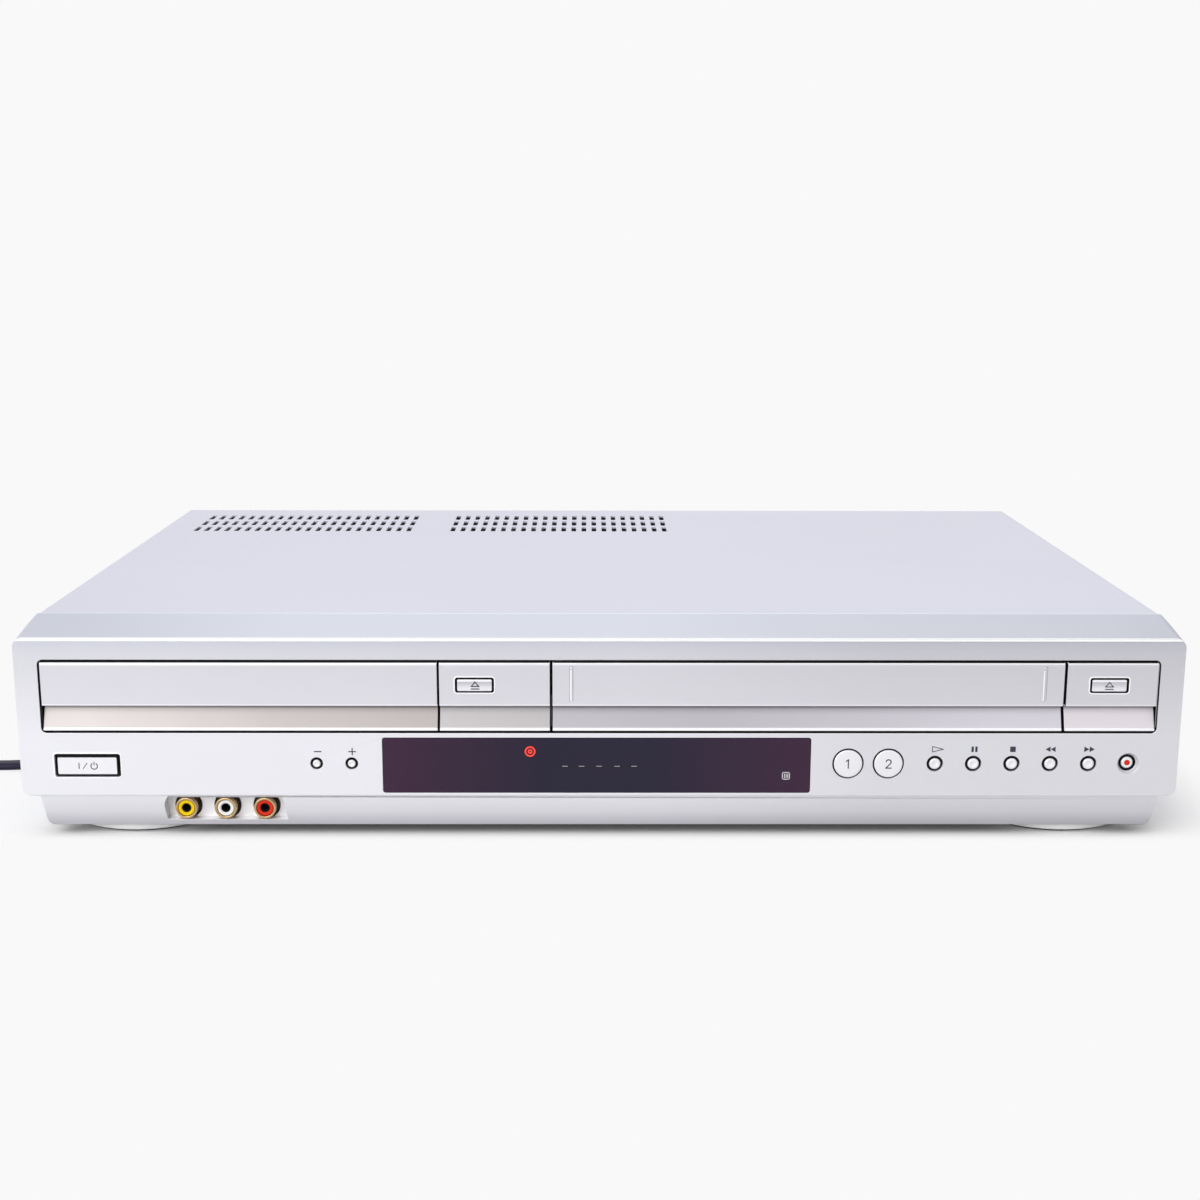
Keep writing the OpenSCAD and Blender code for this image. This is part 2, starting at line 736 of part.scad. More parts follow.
module door_outline() {
    polygon(concat(
        [[door_t, door_z0], [0.3, door_z0], [0, door_z0 + 0.3], [0, door_z0 + 0.9], [0.4, door_z0 + 1]],
        [[band_step, band_z], [band_step, band_z + 0.5], [0.2, band_z + 0.5], [0, band_z + 0.7]],
        arc(door_edge_r, door_z1 - door_edge_r, door_edge_r, 180, 90, 6),
        [[door_t, door_z1]]
    ));
}

module trim_panel(x0, x1, button_x) {
    difference() {
        along_x(x0, x1) door_outline();
        along_y(-e, door_t + e) rounded(
            button_x - eject_w / 2, button_x + eject_w / 2, eject_z - eject_h / 2, eject_z + eject_h / 2,
                0.8);
    }
}

module centre_trim() {
    color("lightgray") at_front() trim_panel(centre_trim_x0, centre_trim_x1, left_eject_x);
}

module right_trim() {
    color("lightgray") at_front() trim_panel(right_trim_x0, right_trim_x1, right_eject_x);
}

module tray_door() {
    color("lightgray") at_front() along_x(tray_door_x0, tray_door_x1) door_outline();
}

// Door with an ear and a pin at each end, and two ribbed grips on its face.
grip_in = 7;
grip_w = 1.3;

module cassette_door() {
    color("lightgray") at_front() {
        difference() {
            along_x(cassette_x0, cassette_x1) door_outline();
            for (x = [cassette_x0 + grip_in, cassette_x1 - grip_in])
                block(x - grip_w / 2, x + grip_w / 2, -e, 0.5, band_z + 2.2, door_z1 - 1.6);
        }
        for (x = [cassette_x0 + 0.6, cassette_x1 - 0.6 - ear_w]) {
            rod_x(hinge_y, hinge_z, ear_r, x, x + ear_w);
            block(x, x + ear_w, hinge_y - ear_r + 0.1, door_t, door_z1 - 1, hinge_z);
        }
        rod_x(hinge_y, hinge_z, hinge_r, cassette_x0 - lug_w, cassette_x0 + 1);
        rod_x(hinge_y, hinge_z, hinge_r, cassette_x1 - 1, cassette_x1 + lug_w);
    }
}

// Cap with a domed face, a collar behind the wall and a stem that reaches the switch.
module round_button(x, hole_r, gap, seat_y = 0) {
    cap_r = hole_r - gap;
    dome = 0.3;
    face_y = seat_y - cap_proud;
    collar_y = seat_y + bezel_wall + 0.3;
    translate([x, 0, button_z]) rotate([-90, 0, 0]) rotate_extrude() polygon([
        [0, face_y], [cap_r - 0.6, face_y], [cap_r, face_y + dome], [cap_r, collar_y],
        [hole_r + 0.5, collar_y], [hole_r + 0.5, collar_y + flange_t], [stem_r, collar_y + flange_t],
        [stem_r, stem_end_y], [0, stem_end_y]
    ]);
}

// Rectangular cap with a collar and a stem.
module flat_button(x, z, w, h, face_y, collar_y, gap) {
    along_y(face_y, collar_y + 0.1)
        rounded(x - w / 2 + gap, x + w / 2 - gap, z - h / 2 + gap, z + h / 2 - gap, 0.7);
    block(x - w / 2 - 0.6, x + w / 2 + 0.6, collar_y, collar_y + flange_t, z - h / 2 - 0.4, z + h / 2 + 0.4);
    rod_y(x, z, stem_r, collar_y + flange_t - 0.1, stem_end_y);
}

module eject_button(x) {
    w = eject_w - 1.5;
    h = eject_h - 1;
    along_y(0.1, door_t - 0.9) rounded(x - w / 2, x + w / 2, eject_z - h / 2, eject_z + h / 2, 0.6);
    along_y(door_t - 1, door_t + 3) rounded(
        x - w / 2 + 0.9, x + w / 2 - 0.9, eject_z - h / 2 + 0.5, eject_z + h / 2 - 0.5, 0.4);
    rod_y(x, eject_z, stem_r, door_t + 2.9, stem_end_y);
}

module power_button() {
    color("silver") at_front() flat_button(power_x, power_z, power_w, power_h, 0.2, bezel_wall + 0.3, 1.2);
}

module disc_eject_button() {
    color("silver") at_front() eject_button(left_eject_x);
}

module cassette_eject_button() {
    color("silver") at_front() eject_button(right_eject_x);
}

module channel_down_button() {
    color("silver") at_front() round_button(channel_xs[0], channel_hole_r, cap_gap);
}

module channel_up_button() {
    color("silver") at_front() round_button(channel_xs[1], channel_hole_r, cap_gap);
}

module select_one_button() {
    color("silver") at_front() round_button(select_xs[0], select_hole_r, select_gap);
}

module select_two_button() {
    color("silver") at_front() round_button(select_xs[1], select_hole_r, select_gap);
}

module play_button() {
    color("silver") at_front() round_button(transport_xs[0], transport_hole_r, cap_gap);
}

module pause_button() {
    color("silver") at_front() round_button(transport_xs[1], transport_hole_r, cap_gap);
}

module stop_button() {
    color("silver") at_front() round_button(transport_xs[2], transport_hole_r, cap_gap);
}

module rewind_button() {
    color("silver") at_front() round_button(transport_xs[3], transport_hole_r, cap_gap);
}

module forward_button() {
    color("silver") at_front() round_button(transport_xs[4], transport_hole_r, cap_gap);
}

module record_button() {
    color("silver") at_front() round_button(record_x, record_hole_r, cap_gap, record_dish_d);
}

module front_jack_block() {
    color("black") at_front()
        block(front_jack_xs[0] - 6, front_jack_xs[2] + 6, front_block_y, board_y,
            foot_h + bezel_wall + 0.4, lip_z + 0.4);
}

module rear_jack_block() {
    color("black") at_front()
        block(rear_jack_x - 8, rear_jack_x + 5 * rear_jack_pitch + 8, panel_y - 16, panel_y,
            board_top_z, rear_rows[1] + 8);
}

module ring(x, z, r_out, r_in, y0, y1) {
    difference() {
        rod_y(x, z, r_out, y0, y1);
        rod_y(x, z, r_in, y0 - e, y1 + e);
    }
}

front_barrel_y = 2.6;

module jack_barrels() {
    color("goldenrod") at_front() {
        for (x = front_jack_xs) ring(x, front_jack_z, barrel_r, insert_r + 0.1, front_barrel_y,
            front_block_y);
        for (p = rear_jack_places()) ring(p[0], p[1], barrel_r, insert_r + 0.1, panel_y, case_d + jack_out);
    }
}

module front_insert(i) {
    ring(front_jack_xs[i], front_jack_z, insert_r, pin_hole_r, front_barrel_y + 0.3, front_block_y);
}

module rear_insert(column, row) {
    ring(rear_jack_x + column * rear_jack_pitch, rear_rows[row], insert_r, pin_hole_r,
        panel_y, case_d + jack_out - 0.3);
}

module yellow_inserts() {
    color("yellow") at_front() {
        front_insert(0);
        rear_insert(0, 0);
        rear_insert(0, 1);
    }
}

module white_inserts() {
    color("white") at_front() {
        front_insert(1);
        rear_insert(1, 0);
        rear_insert(1, 1);
        rear_insert(3, 0);
    }
}

module red_inserts() {
    color("red") at_front() {
        front_insert(2);
        rear_insert(2, 0);
        rear_insert(2, 1);
        rear_insert(4, 0);
        rear_insert(5, 1);
    }
}

module component_inserts() {
    color("green") at_front() {
        rear_insert(3, 1);
        rear_insert(4, 1);
    }
}

module tuner_module() {
    color("lightgray") at_front()
        block(antenna_x - tuner_half, antenna_x + tuner_half, panel_y - tuner_l, panel_y,
            board_top_z, tuner_z1);
}

module antenna_sockets() {
    color("gainsboro") at_front() for (z = antenna_zs) difference() {
        union() {
            rod_y(antenna_x, z, antenna_shank_r, panel_y, case_d);
            rod_y(antenna_x, z, antenna_nut_r, case_d - sheet_t, antenna_nut_y1);
            rod_y(antenna_x, z, antenna_r, antenna_nut_y1 - e, case_d + jack_out);
        }
        rod_y(antenna_x, z, antenna_pin_r, panel_y + 2, case_d + jack_out + e);
    }
}

// Plug through the rear panel, a flange outside it and a boot that tapers along the cord.
module strain_relief() {
    color("black") at_front() translate([relief_x, 0, relief_z]) rotate([-90, 0,
        0]) rotate_extrude() polygon([
        [0, panel_y - 3], [relief_r - 0.1, panel_y - 3], [relief_r - 0.1, panel_y + sheet_t],
        [relief_flange_r, panel_y + sheet_t], [relief_flange_r, panel_y + sheet_t + relief_flange_t],
        [relief_r, panel_y + sheet_t + relief_flange_t], [relief_tip_r, relief_y1], [0, relief_y1]
    ]);
}

function unit(v) = v / norm(v);

// Side vector of the cord's ring i, level with the floor.
function cord_side(i) = let (
    a = CORD[max(i - 1, 0)],
    b = CORD[min(i + 1, len(CORD) - 1)]
) unit([a[1] - b[1], b[0] - a[0], 0]);

function cord_up(i) = let (
    a = CORD[max(i - 1, 0)],
    b = CORD[min(i + 1, len(CORD) - 1)]
) unit(cross(cord_side(i), unit(a - b)));

// The flat cord's section: half its width and half its thickness, eight corners round the middle.
cord_section = [
    for (c = [[1, 0.5], [0.8, 1], [-0.8, 1], [-1, 0.5], [-1, -0.5], [-0.8, -1], [0.8, -1], [1, -0.5]])
        [c[0] * cord_w / 2, c[1] * cord_t / 2]
];
cord_sides = len(cord_section);

module power_cord() {
    n = len(CORD);
    points = [for (i = [0:n - 1], s = cord_section) CORD[i] + s[0] * cord_side(i) + s[1] * cord_up(i)];
    walls = [
        for (i = [0:n - 2], j = [0:cord_sides - 1]) let (k = (j + 1) % cord_sides)
            [i * cord_sides + j, i * cord_sides + k, (i + 1) * cord_sides + k, (i + 1) * cord_sides + j]
    ];
    caps = [
        [for (j = [0:cord_sides - 1]) cord_sides - 1 - j],
        [for (j = [0:cord_sides - 1]) (n - 1) * cord_sides + j]
    ];
    color("black") at_front() polyhedron(points, concat(walls, caps));
}

module cord_coil() {
    color("black") at_front() translate([coil_x, coil_y, 0]) rotate_extrude($fn = 64)
        translate([coil_in_r, 0.1]) square([coil_r - coil_in_r, coil_h]);
}

module plug_body() {
    color("black") at_front()
        translate([plug_x, plug_y0, plug_z0]) linear_extrude(plug_h)
            rounded(-plug_w / 2, plug_w / 2, 0, plug_l, plug_corner_r);
}

module plug_blades() {
    color("gold") at_front() for (s = [-0.5, 0.5]) translate([plug_x + s * blade_pitch, 0, 0])
        block(-blade_t / 2, blade_t / 2, plug_y0 + plug_l, plug_y0 + plug_l + blade_l,
            plug_z0 + (plug_h - blade_w) / 2, plug_z0 + (plug_h + blade_w) / 2);
}

loader_legs = [for (s = [-1, 1], y = [loader_y0 + 6, loader_y1 - 8]) [tray_x + s * (loader_half - 5), y]];
deck_legs = [for (s = [-1, 1], y = [deck_y0 + 8, deck_y1 - 8]) [deck_x + s * (bracket_out - 8), y]];

module leg_holes() {
    for (p = concat(loader_legs, deck_legs)) rod_z(p[0], p[1], leg_r + leg_gap, board_z - e, board_top_z + e);
}

chip_w = 18;
chip_pitch = 34;
chip_t = 2;
coil_can_r = 5;
can_h = 14;

module main_board() {
    chips_x = main_board_x0 + 8;
    color("darkgreen") at_front() {
        difference() {
            block(main_board_x0, main_board_x1, boards_y0, boards_y1, board_z, board_top_z);
            leg_holes();
        }
        for (i = [0:4]) block(chips_x, chips_x + chip_w, boards_y0 + (i + 0.9) * chip_pitch,
            boards_y0 + (i + 0.9) * chip_pitch + chip_w, board_top_z, board_top_z + chip_t);
        for (i = [0, 1])
            rod_z(chips_x + chip_w + 24 + i * 14, boards_y0 + 30, coil_can_r, board_top_z,
                board_top_z + can_h);
    }
}

transformer_w = 40;
transformer_l = 36;
transformer_h = 30;
cap_r = 7;
cap_h = 22;
cap_pitch = 17;
sink_l = 70;
sink_h = 16;
sink_t = 3;
sink_x = power_board_x0 + 8;
sink_y = boards_y0 + 40;

module power_supply() {
    parts_y0 = loader_y1 + 8;
    color("darkkhaki") at_front() {
        difference() {
            block(power_board_x0, power_board_x1, boards_y0, boards_y1, board_z, board_top_z);
            leg_holes();
        }
        block(tray_x - transformer_w / 2, tray_x + transformer_w / 2, parts_y0, parts_y0 + transformer_l,
            board_top_z, board_top_z + transformer_h);
        for (i = [0:2])
            rod_z(tray_x - transformer_w, parts_y0 + cap_r + i * cap_pitch, cap_r, board_top_z,
                board_top_z + cap_h);
        block(sink_x, sink_x + sink_t, sink_y, sink_y + sink_l, board_top_z, board_top_z + sink_h);
    }
}

module control_board() {
    color("darkgreen") at_front() {
        block(row_left + 2, row_right - 2, board_y, board_y + board_t, board_z0, board_z1);
        block(left_eject_x - 9, left_eject_x + 9, board_y, board_y + board_t, board_z1 - e, eject_tab_z);
        block(right_eject_x - 7, right_eject_x + 9, board_y, board_y + board_t, board_z1 - e, eject_tab_z);
        for (p = switch_places())
            block(p[0] - 3, p[0] + 3, board_y - switch_h, board_y, p[1] - 3, p[1] + 3);
    }
}

function switch_places() = concat(
    [[power_x, power_z], [left_eject_x, eject_z], [right_eject_x, eject_z]],
    [for (x = concat(channel_xs, select_xs, transport_xs, record_x)) [x, button_z]]
);

tube_in = 30;
tube_t = 8;

module display_tube() {
    color("darkslategray") at_front()
        block(window_left + tube_in, window_left + window_w - tube_in, board_y - tube_t, board_y,
            window_z + 3, window_z + window_h - 3);
}

module loader_frame() {
    x0 = tray_x - loader_half;
    x1 = tray_x + loader_half;
    color("dimgray") at_front() {
        difference() {
            block(x0 - loader_wall, x1 + loader_wall, loader_y0, loader_y1, loader_z0, loader_z0 + 2);
            block(tray_x - traverse_half - 2, tray_x + traverse_half + 2, traverse_y0 - 3, traverse_y1 + 8,
                loader_z0 - e, loader_z0 + 3);
        }
        block(x0 - loader_wall, x0, loader_y0, loader_y1, loader_z0, loader_z1);
        block(x1, x1 + loader_wall, loader_y0, loader_y1, loader_z0, loader_z1);
        block(x0 - e, x1 + e, loader_y1 - loader_wall, loader_y1, loader_z0, loader_z1);
        block(x0 - e, x0 + ledge_w, loader_y0, loader_y1 - 1, tray_z - 3, tray_z - 0.3);
        block(x1 - ledge_w, x1 + e, loader_y0, loader_y1 - 1, tray_z - 3, tray_z - 0.3);
        block(x0 - e, x1 + e, disc_y - 16, disc_y + 16, bridge_z, bridge_z + 2);
        rod_z(tray_x, disc_y, 15, bridge_z - 1.4, bridge_z + 3.4);
        rod_z(gear_x, gear_y, gear_post_r, loader_z0 + 1, tray_z - 0.5);
        for (x = [-1, 1]) difference() {
            block(tray_x + x * (traverse_half + 4) - 2, tray_x + x * (traverse_half + 4) + 2,
                traverse_pin_y - 4, traverse_pin_y + 4, loader_z0 + 1, traverse_z + 6);
            rod_x(traverse_pin_y, traverse_pin_z, traverse_pin_r + running, tray_x - 60, tray_x + 60);
        }
        for (p = loader_legs) rod_z(p[0], p[1], leg_r, floor_z, loader_z0 + 1);
    }
}

module rack_tooth_outline() {
    polygon([[-0.1, -tooth_w / 2 - 0.35], [tooth_in, -tooth_w / 2], [tooth_in + tooth_out,
        -tooth_w / 2 + 0.3],
        [tooth_in + tooth_out, tooth_w / 2 - 0.3], [tooth_in, tooth_w / 2], [-0.1, tooth_w / 2 + 0.35]]);
}

rack_teeth = floor((tray_travel + 12) / (PI * gear_module));

module disc_tray() {
    color("dimgray") at_front() {
        difference() {
            union() {
                block(tray_x - tray_w / 2, tray_x + tray_w / 2, tray_y0, tray_y1, tray_z, tray_z + tray_t);
                for (s = [-1, 1]) translate([tray_x + s * (tray_w / 2 - 1.5), 0, 0])
                    block(-1.5, 1.5, tray_y0, tray_y1, tray_z, tray_rim_z);
                block(tray_x - tray_w / 2, tray_x + tray_w / 2, tray_y0, tray_y0 + 2.5, tray_z - 3,
                    tray_rim_z + 6);
            }
            rod_z(tray_x, disc_y, disc_r, tray_z + 2.4, tray_z + tray_t + e);
            rod_z(tray_x, disc_y, 40.4, tray_z + 1.6, tray_z + tray_t + e);
            rod_z(tray_x, disc_y, spindle_slot, tray_z - e, tray_z + tray_t + e);
            block(tray_x - spindle_slot, tray_x + spindle_slot, disc_y, tray_y1 + e, tray_z - e,
                tray_z + tray_t + e);
        }
        block(rack_x + tooth_in, rack_x + tooth_in + 3, rack_y0 - 4,
            rack_y0 + rack_teeth * PI * gear_module + 2,
            rack_z0, tray_z + e);
        for (i = [0:rack_teeth - 1])
            translate([rack_x + tooth_in, gear_y - 2 * PI * gear_module + i * PI * gear_module, rack_z0])
                linear_extrude(tray_z - rack_z0 - 0.2) mirror([1, 0]) rack_tooth_outline();
    }
}

// Spur gear whose gaps face the rack's teeth at rest.
module tray_gear() {
    color("white") at_front() translate([gear_x, gear_y, 0]) difference() {
        union() {
            translate([0, 0, rack_z0]) linear_extrude(tray_z - rack_z0 - 0.6) {
                circle(gear_pitch_r - tooth_in);
                for (i = [0:gear_teeth - 1]) rotate(180 / gear_teeth + i * 360 / gear_teeth)
                    translate([gear_pitch_r - tooth_in, 0]) rack_tooth_outline();
            }
            rod_z(0, 0, 4, loader_z0 + 2.2, rack_z0 + e);
        }
        rod_z(0, 0, gear_post_r + running, loader_z0, tray_z);
    }
}

module traverse() {
    color("darkgray") at_front() {
        difference() {
            block(tray_x - traverse_half, tray_x + traverse_half, traverse_y0, traverse_y1 + 2,
                traverse_z, traverse_z + 2);
            block(tray_x - 15, tray_x + 15, rod_y0 + 2, rod_y1 - 4, traverse_z - e, traverse_z + 2 + e);
        }
        difference() {
            rod_z(tray_x, disc_y, motor_r, traverse_z + 1, motor_z1);
            rod_z(tray_x, disc_y, 1 + running, motor_z1 - 6, motor_z1 + e);
        }
        for (s = [-1, 1]) {
            rod_y(tray_x + s * rod_dx, rod_z, rod_r, rod_y0, rod_y1);
            for (y = [rod_y0 - 2, rod_y1])
                block(tray_x + s * rod_dx - 3, tray_x + s * rod_dx + 3, y, y + 2, traverse_z + 1, rod_z + 3);
            block(tray_x + s * (traverse_half - 3) - 3, tray_x + s * (traverse_half - 3) + 3,
                traverse_y1, traverse_pin_y + 2.5, traverse_z, traverse_z + 4.6);
        }
        rod_x(traverse_pin_y, traverse_pin_z, traverse_pin_r, tray_x - traverse_half - 6,
            tray_x + traverse_half + 6);
    }
}

module turntable() {
    color("black") at_front() {
        rod_z(tray_x, disc_y, 1, motor_z1 - 5.5, turntable_z0 + 1);
        rod_z(tray_x, disc_y, 14, turntable_z0, turntable_z1);
        rod_z(tray_x, disc_y, 7.4, turntable_z1 - e, turntable_z1 + 2.2);
    }
}

module optical_pickup() {
    color("silver") at_front() {
        difference() {
            block(tray_x - rod_dx - 4, tray_x + rod_dx + 4, pickup_y0, pickup_y0 + pickup_l, rod_z - 3,
                rod_z + 4);
            for (s = [-1, 1])
                rod_y(tray_x + s * rod_dx, rod_z, rod_r + running, pickup_y0 - e, pickup_y0 + pickup_l + e);
        }
        rod_z(tray_x, pickup_y0 + pickup_l / 2, 3.4, rod_z + 3, tray_z - 0.6);
    }
}

// Side plate that stands on the deck, with the level slots that guide the slider's pins.
module deck_bracket(x0) {
    difference() {
        block(x0, x0 + bracket_t, deck_y0, bracket_y1, deck_top + seat_gap, bracket_z1);
        for (y = slider_pins_y) {
            rod_x(y, guide_z, guide_slot_r, x0 - e, x0 + bracket_t + e);
            rod_x(y + carriage_in, guide_z, guide_slot_r, x0 - e, x0 + bracket_t + e);
            block(x0 - e, x0 + bracket_t + e, y, y + carriage_in, guide_z - guide_slot_r,
                guide_z + guide_slot_r);
        }
    }
}

// The plate on its legs; the brackets and the posts of the reels and the pinch roller are fixed to it.
module deck_chassis() {
    color("lightgray") at_front() {
        difference() {
            union() {
                block(deck_x - bracket_out, deck_x + bracket_out, deck_y0, deck_y1, deck_z, deck_top);
                for (p = deck_legs) rod_z(p[0], p[1], leg_r, floor_z, deck_z + e);
            }
            rod_z(capstan_x, capstan_y, capstan_r + running, deck_z - e, deck_top + e);
        }
        deck_bracket(deck_x - bracket_out);
        deck_bracket(deck_x + bracket_in);
        for (s = [-0.5, 0.5])
            rod_z(deck_x + s * reel_pitch, reel_y, reel_post_r, deck_top + seat_gap, reel_top_z - 1);
        rod_z(pinch_x, pinch_y, pinch_post_r, deck_top + seat_gap, pinch_z1 + 3);
    }
}

tape_post_r = 3;
tape_z1 = deck_top + 24;
guide_side = 44;
guide_back = 8;
outer_side = 80;
outer_back = 26;
head_side = 46;
head_w = 10;
head_l = 12;
erase_side = 56;

// Guide posts on both sides of the drum, the sound head beside the capstan and the erase head.
module tape_path() {
    color("gainsboro") at_front() {
        for (s = [-1, 1]) {
            rod_z(deck_x + s * guide_side, drum_y - guide_back, tape_post_r, deck_top, tape_z1);
            rod_z(deck_x + s * outer_side, drum_y - outer_back, tape_post_r - 1, deck_top, tape_z1);
        }
        block(deck_x + head_side, deck_x + head_side + head_w, capstan_y - 2, capstan_y - 2 + head_l,
            deck_top, tape_z1);
        block(deck_x - erase_side - head_w, deck_x - erase_side, capstan_y, capstan_y + head_w,
            deck_top, tape_z1);
    }
}

module lower_drum() {
    color("silver") at_front() difference() {
        rod_z(deck_x, drum_y, drum_r, deck_top, drum_split_z);
        rod_z(deck_x, drum_y, drum_shaft_r + running, deck_top + 4, drum_split_z + e);
    }
}

module upper_drum() {
    color("silver") at_front() difference() {
        union() {
            rod_z(deck_x, drum_y, drum_r, drum_split_z + 0.4, drum_top_z);
            rod_z(deck_x, drum_y, drum_shaft_r, deck_top + 5, drum_top_z);
        }
        for (i = [0:2]) rotate_about(deck_x, drum_y, i * 120)
            rod_z(drum_hole_at, 0, drum_hole_r, drum_top_z - 3, drum_top_z + e);
    }
}

module rotate_about(x, y, angle) {
    translate([x, y, 0]) rotate(angle) children();
}

module capstan() {
    color("silver") at_front() {
        rod_z(capstan_x, capstan_y, capstan_r, flywheel_z0, capstan_top_z);
        rod_z(capstan_x, capstan_y, flywheel_r, flywheel_z0, flywheel_z1);
    }
}

module pinch_roller() {
    color("black") at_front() difference() {
        rod_z(pinch_x, pinch_y, pinch_r, pinch_z0, pinch_z1);
        rod_z(pinch_x, pinch_y, pinch_post_r + running, pinch_z0 - e, pinch_z1 + e);
    }
}

module reel(x) {
    difference() {
        union() {
            rod_z(x, reel_y, reel_table_r, reel_z0, reel_z0 + 2);
            rod_z(x, reel_y, reel_spindle_r, reel_z0, reel_top_z);
            for (i = [0:5]) rotate_about(x, reel_y, i * 60)
                block(reel_spindle_r - 0.5, reel_spindle_r + 1.2, -0.7, 0.7, reel_z0, reel_top_z - 2);
        }
        rod_z(x, reel_y, reel_post_r + running, reel_z0 - e, reel_top_z + e);
    }
}

module supply_reel() {
    color("black") at_front() reel(deck_x - reel_pitch / 2);
}

module takeup_reel() {
    color("black") at_front() reel(deck_x + reel_pitch / 2);
}

// Two side plates joined by a bar: pins outwards into the brackets, upright slots for the carriage.
module slider_side(s) {
    x0 = s > 0 ? slider_in : -slider_out;
    translate([deck_x, 0, 0]) difference() {
        union() {
            block(x0, x0 + 0.8, slider_y0, slider_y0 + slider_l, carriage_z0 + 1, bracket_z1 - 1);
            for (y = slider_pins_y)
                rod_x(y, guide_z, guide_pin_r, s > 0 ? slider_in : -bracket_out,
                    s > 0 ? bracket_out : -slider_in);
        }
        for (y = drop_pins_y) {
            rod_x(y, drop_z, guide_slot_r, x0 - e, x0 + 0.8 + e);
            rod_x(y, drop_z - carriage_down, guide_slot_r, x0 - e, x0 + 0.8 + e);
            block(x0 - e, x0 + 0.8 + e, y - guide_slot_r, y + guide_slot_r, drop_z - carriage_down, drop_z);
        }
    }
}

module carriage_slider() {
    color("gray") at_front() {
        slider_side(-1);
        slider_side(1);
        block(deck_x - slider_out, deck_x + slider_out, slider_y0 + slider_l - 10, slider_y0 + slider_l,
            bracket_z1 - 1.8, bracket_z1 - 1);
    }
}

module cassette_carriage() {
    color("lightgray") at_front() translate([deck_x, 0, 0]) {
        block(-carriage_out, carriage_out, carriage_y0 + 4, carriage_y1, carriage_z1 - carriage_wall,
            carriage_z1);
        for (s = [-1, 1]) {
            x0 = s > 0 ? carriage_w / 2 : -carriage_out;
            block(x0, x0 + carriage_wall, carriage_y0, carriage_y1, carriage_z0, carriage_z1);
            flange_x0 = s > 0 ? carriage_w / 2 - flange_in : -carriage_out;
            block(flange_x0, flange_x0 + flange_in + carriage_wall, carriage_y0, carriage_y1,
                carriage_z0, carriage_z0 + carriage_wall);
            for (y = drop_pins_y)
                rod_x(y, drop_z, guide_pin_r, s > 0 ? carriage_w / 2 + 0.1 : -slider_out - 0.1,
                    s > 0 ? slider_out + 0.1 : -carriage_w / 2 - 0.1);
        }
        block(-carriage_out, -carriage_out + 30, carriage_y1 - carriage_wall, carriage_y1, carriage_z0,
            carriage_z1);
        block(carriage_out - 30, carriage_out, carriage_y1 - carriage_wall, carriage_y1, carriage_z0,
            carriage_z1);
    }
}

front_bezel();
top_cover();
chassis_base();
rear_panel();
cover_screws();
front_feet();
rear_feet();
foot_pads();
display_window();
centre_trim();
right_trim();
tray_door();
cassette_door();
power_button();
disc_eject_button();
cassette_eject_button();
channel_down_button();
channel_up_button();
select_one_button();
select_two_button();
play_button();
pause_button();
stop_button();
rewind_button();
forward_button();
record_button();
front_jack_block();
rear_jack_block();
jack_barrels();
yellow_inserts();
white_inserts();
red_inserts();
component_inserts();
tuner_module();
antenna_sockets();
strain_relief();
power_cord();
cord_coil();
plug_body();
plug_blades();
main_board();
power_supply();
control_board();
display_tube();
loader_frame();
disc_tray();
tray_gear();
traverse();
turntable();
optical_pickup();
deck_chassis();
tape_path();
lower_drum();
upper_drum();
capstan();
pinch_roller();
supply_reel();
takeup_reel();
carriage_slider();
cassette_carriage();
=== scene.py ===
import json
import math

import bmesh
import bpy
from mathutils import Matrix, Vector


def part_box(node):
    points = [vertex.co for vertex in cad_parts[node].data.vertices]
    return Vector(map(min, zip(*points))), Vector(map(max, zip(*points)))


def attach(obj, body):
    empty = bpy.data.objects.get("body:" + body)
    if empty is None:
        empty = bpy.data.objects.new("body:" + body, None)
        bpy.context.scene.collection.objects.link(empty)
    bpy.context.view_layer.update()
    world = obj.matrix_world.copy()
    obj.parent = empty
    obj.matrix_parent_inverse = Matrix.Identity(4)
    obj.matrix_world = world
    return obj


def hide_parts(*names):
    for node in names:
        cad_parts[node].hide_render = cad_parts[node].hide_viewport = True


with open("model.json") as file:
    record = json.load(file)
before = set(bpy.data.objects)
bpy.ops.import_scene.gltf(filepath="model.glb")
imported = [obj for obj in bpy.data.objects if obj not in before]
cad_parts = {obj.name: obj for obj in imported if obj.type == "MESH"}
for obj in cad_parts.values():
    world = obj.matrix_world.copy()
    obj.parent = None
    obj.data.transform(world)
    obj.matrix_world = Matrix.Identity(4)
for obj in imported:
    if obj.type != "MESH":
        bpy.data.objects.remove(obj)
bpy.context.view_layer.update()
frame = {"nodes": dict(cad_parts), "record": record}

# Places are in millimetres of x, depth and height. The depth is counted from the front's face,
# which lies at FRONT_Y, a little before the window's pane.
MM = 0.001
WINDOW_FACE = 0.2
FRONT_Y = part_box("display_window")[0].y - WINDOW_FACE * MM

SLOT_OF = {row["node"]: row["material_slot"] for row in frame["record"]["subparts"]}
BODY_OF = {node: body for body, nodes in frame["record"]["behaviour"]["bodies"].items()
           for node in nodes}
UPRIGHT = Vector((0, 0, 1))


# ---- camera

CAMERA_PLACE = Vector((-4.8, -736.0, 220.3)) * MM
CAMERA_PITCH = math.radians(12.12)
CAMERA_YAW = math.radians(0.43)
CAMERA_ROLL = math.radians(0.15)
CAMERA_LENS = 50.34
CAMERA_SENSOR = 36
CAMERA_REACH = 50


